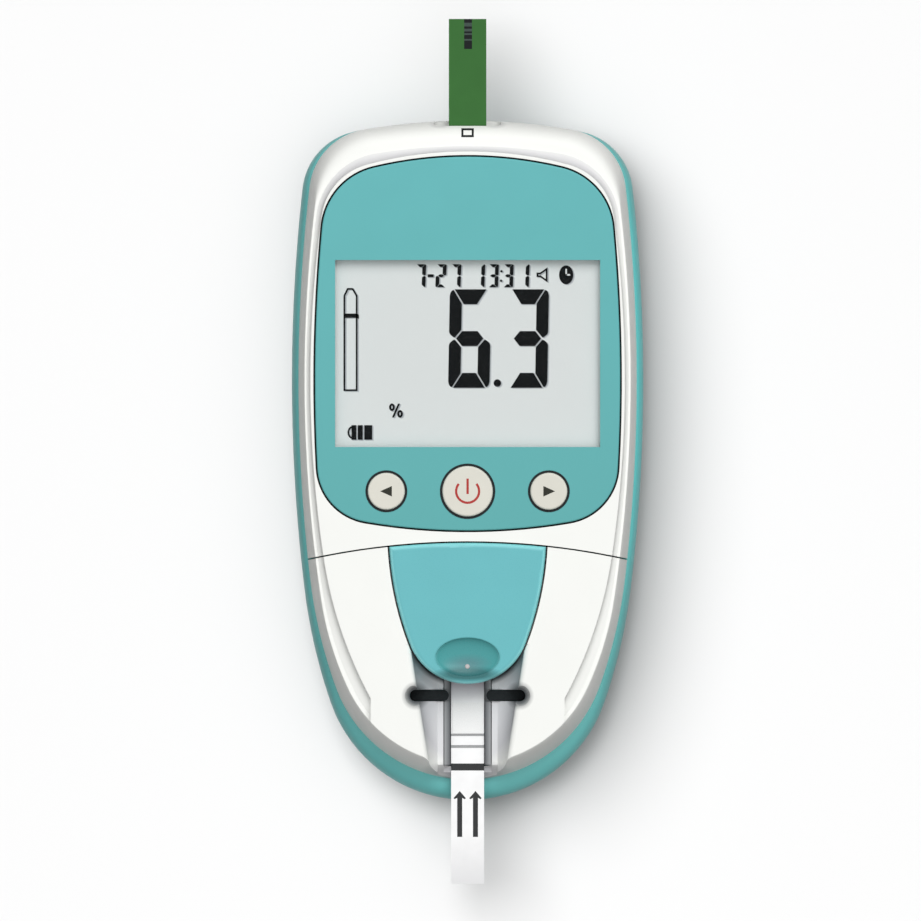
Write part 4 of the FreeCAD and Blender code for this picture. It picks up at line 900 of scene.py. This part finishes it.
# Shell details
def slot_mark():
    half_w, half_l, line = SLOT_MARK_HALF_W, SLOT_MARK_HALF_L, SLOT_MARK_LINE
    square = bar(-half_w, half_w, SLOT_MARK_Y - half_l, SLOT_MARK_Y + half_l)
    hole = bar(line - half_w, half_w - line, SLOT_MARK_Y - half_l + line, SLOT_MARK_Y + half_l - line)
    shape = bmesh.new()
    add_band(shape, finely(square), finely(hole), (0, 0), surface_of("top_case"), 2 * INK_T, 2 * INK_T)
    piece("chip_slot_mark", shape, BLACK_INK, "case")


def lid_pip():
    """A small moulded bump in the thumb scoop."""
    ground = surface_of("strip_lid")
    x0 = PIP_X * MM
    y0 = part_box("strip_lid")[0].y + PIP_IN * MM
    shape = bmesh.new()
    rings = []
    for degrees in PIP_RISES:
        a = math.radians(degrees)
        lift = (PIP_H * math.sin(a) - PIP_SINK) * MM
        ring = []
        for x, y in circle((0, 0), PIP_R * math.cos(a)):
            px, py = x0 + x * MM, y0 + y * MM
            ring.append(shape.verts.new((px, py, ground(px, py) + lift)))
        rings.append(ring)
    for low, high in zip(rings, rings[1:]):
        add_walls(shape, low, high)
    shape.faces.new(rings[-1])
    shape.faces.new(rings[0][::-1])
    made = piece("lid_pip", shape, PIP_GREY, "lid")
    made.data.shade_smooth()


def door_ribs():
    """Rows of half-round grip ribs near one end of the battery door."""
    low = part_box("battery_door")[0]
    shape = bmesh.new()
    for row in range(DOOR_RIBS):
        y = low.y + (DOOR_RIB_IN + row * DOOR_RIB_PITCH) * MM
        ends = []
        for side in (-1, 1):
            x = side * DOOR_RIB_HALF_W * MM
            ring = []
            for degrees in range(0, 181, DOOR_RIB_TURN):
                a = math.radians(degrees)
                dy, dz = DOOR_RIB_R * math.cos(a) * MM, DOOR_RIB_R * math.sin(a) * MM
                ring.append(shape.verts.new((x, y + dy, low.z - dz * DOOR_RIB_FLAT)))
            ends.append(ring)
        left, right = ends
        add_walls(shape, left, right)
        shape.faces.new(left[::-1])
        shape.faces.new(right)
    bmesh.ops.recalc_face_normals(shape, faces=shape.faces)
    piece("door_grip_ribs", shape, SLOTS["teal_shell"], "door")


display_marks()
button_marks()
strip_marks()
chip_marks()
slot_mark()
lid_pip()
door_ribs()


# Floor, light and camera
def in_view(tree):
    """One for rays from the camera, from gloss and through glass, none for light that bounces about."""
    path = tree.nodes.new("ShaderNodeLightPath")
    share = path.outputs["Is Camera Ray"]
    for kind in ("Is Glossy Ray", "Is Transmission Ray"):
        either = tree.nodes.new("ShaderNodeMath")
        either.operation = "MAXIMUM"
        tree.links.new(share, either.inputs[0])
        tree.links.new(path.outputs[kind], either.inputs[1])
        share = either.outputs[0]
    return share


def floor_finish():
    """Pale where it is seen, and darker to the light that it throws back at the part."""
    finish = Finish("floor_white").set(Specular_IOR_Level=0.0)
    cloud = finish.noise(FLOOR_CLOUD)
    seen = finish.tones(cloud, *[linear(code) for code in FLOOR_TONES])
    bounced = (FLOOR_BOUNCE, FLOOR_BOUNCE, FLOOR_BOUNCE, 1.0)
    finish.feed(finish.mix(in_view(finish.tree), bounced, seen), "Base Color")
    return finish.roughen(cloud, low=0.8, high=0.9)


def make_floor():
    finish = floor_finish()
    mesh = bpy.data.meshes.new("floor")
    half = FLOOR_HALF_W
    corners = [(x, y, 0) for x, y in bar(-half, half, -half, half)]
    mesh.from_pydata(corners, [], [(0, 1, 2, 3)])
    mesh.materials.append(finish.material)
    floor = bpy.data.objects.new("floor", mesh)
    bpy.context.scene.collection.objects.link(floor)
    return floor


def make_lamp(name, level, turn, rise, width):
    """A soft distant lamp that gives an upward face the same light from any height."""
    turn, rise = math.radians(turn), math.radians(rise)
    lamp = bpy.data.lights.new(name, "SUN")
    lamp.angle = math.radians(width)
    lamp.energy = level * math.pi / math.sin(rise)
    made = bpy.data.objects.new(name, lamp)
    towards = Vector((-math.sin(turn) * math.cos(rise), math.cos(turn) * math.cos(rise), math.sin(rise)))
    made.location = towards
    made.rotation_mode = "QUATERNION"
    made.rotation_quaternion = towards.to_track_quat("Z", "Y")
    bpy.context.scene.collection.objects.link(made)
    return made


def make_light(floor):
    """The floor takes its light and its shadow from the first lamp, everything else from the second."""
    for name, aim, state in (("floor_lamp", FLOOR_LAMP, "INCLUDE"), ("part_lamp", PART_LAMP, "EXCLUDE")):
        lit = bpy.data.collections.new(name + "_lit")
        lit.objects.link(floor)
        lit.collection_objects[0].light_linking.link_state = state
        make_lamp(name, **aim).light_linking.receiver_collection = lit


def make_surround():
    """A world that is plain white where it is seen, and that lights the part mostly from overhead."""
    world = bpy.data.worlds.new("surround")
    bpy.context.scene.world = world
    world.use_nodes = True
    tree = world.node_tree
    tree.nodes.clear()
    out = tree.nodes.new("ShaderNodeOutputWorld")
    blend = tree.nodes.new("ShaderNodeMixShader")
    glow = tree.nodes.new("ShaderNodeBackground")
    seen = tree.nodes.new("ShaderNodeBackground")
    for shader in (glow, seen):
        shader.inputs["Color"].default_value = (1.0, 1.0, 1.0, 1.0)
    coords = tree.nodes.new("ShaderNodeTexCoord")
    split = tree.nodes.new("ShaderNodeSeparateXYZ")
    tree.links.new(coords.outputs["Generated"], split.inputs[0])
    source = split.outputs["Z"]
    # A glow that fades as a power of the height lights an upward face by 2 / (power + 2) of its strength
    overhead = GLOW_LEVEL * (GLOW_FADE + 2) / 2
    for kind, value in (("MAXIMUM", 0.0), ("POWER", GLOW_FADE), ("MULTIPLY", overhead)):
        step = tree.nodes.new("ShaderNodeMath")
        step.operation = kind
        step.inputs[1].default_value = value
        tree.links.new(source, step.inputs[0])
        source = step.outputs[0]
    tree.links.new(source, glow.inputs["Strength"])
    tree.links.new(in_view(tree), blend.inputs["Fac"])
    tree.links.new(glow.outputs[0], blend.inputs[1])
    tree.links.new(seen.outputs[0], blend.inputs[2])
    tree.links.new(blend.outputs[0], out.inputs["Surface"])


def make_camera():
    lens = bpy.data.cameras.new("camera")
    lens.lens = LENS
    lens.sensor_width = SENSOR_W
    lens.clip_end = CLIP_FAR
    camera = bpy.data.objects.new("camera", lens)
    face_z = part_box("display_bezel")[1].z
    camera.location = (VIEW_X, VIEW_Y, face_z + VIEW_W * LENS / SENSOR_W)
    bpy.context.scene.collection.objects.link(camera)
    bpy.context.scene.camera = camera


make_light(make_floor())
make_surround()
make_camera()
bpy.context.scene.view_settings.view_transform = "Standard"
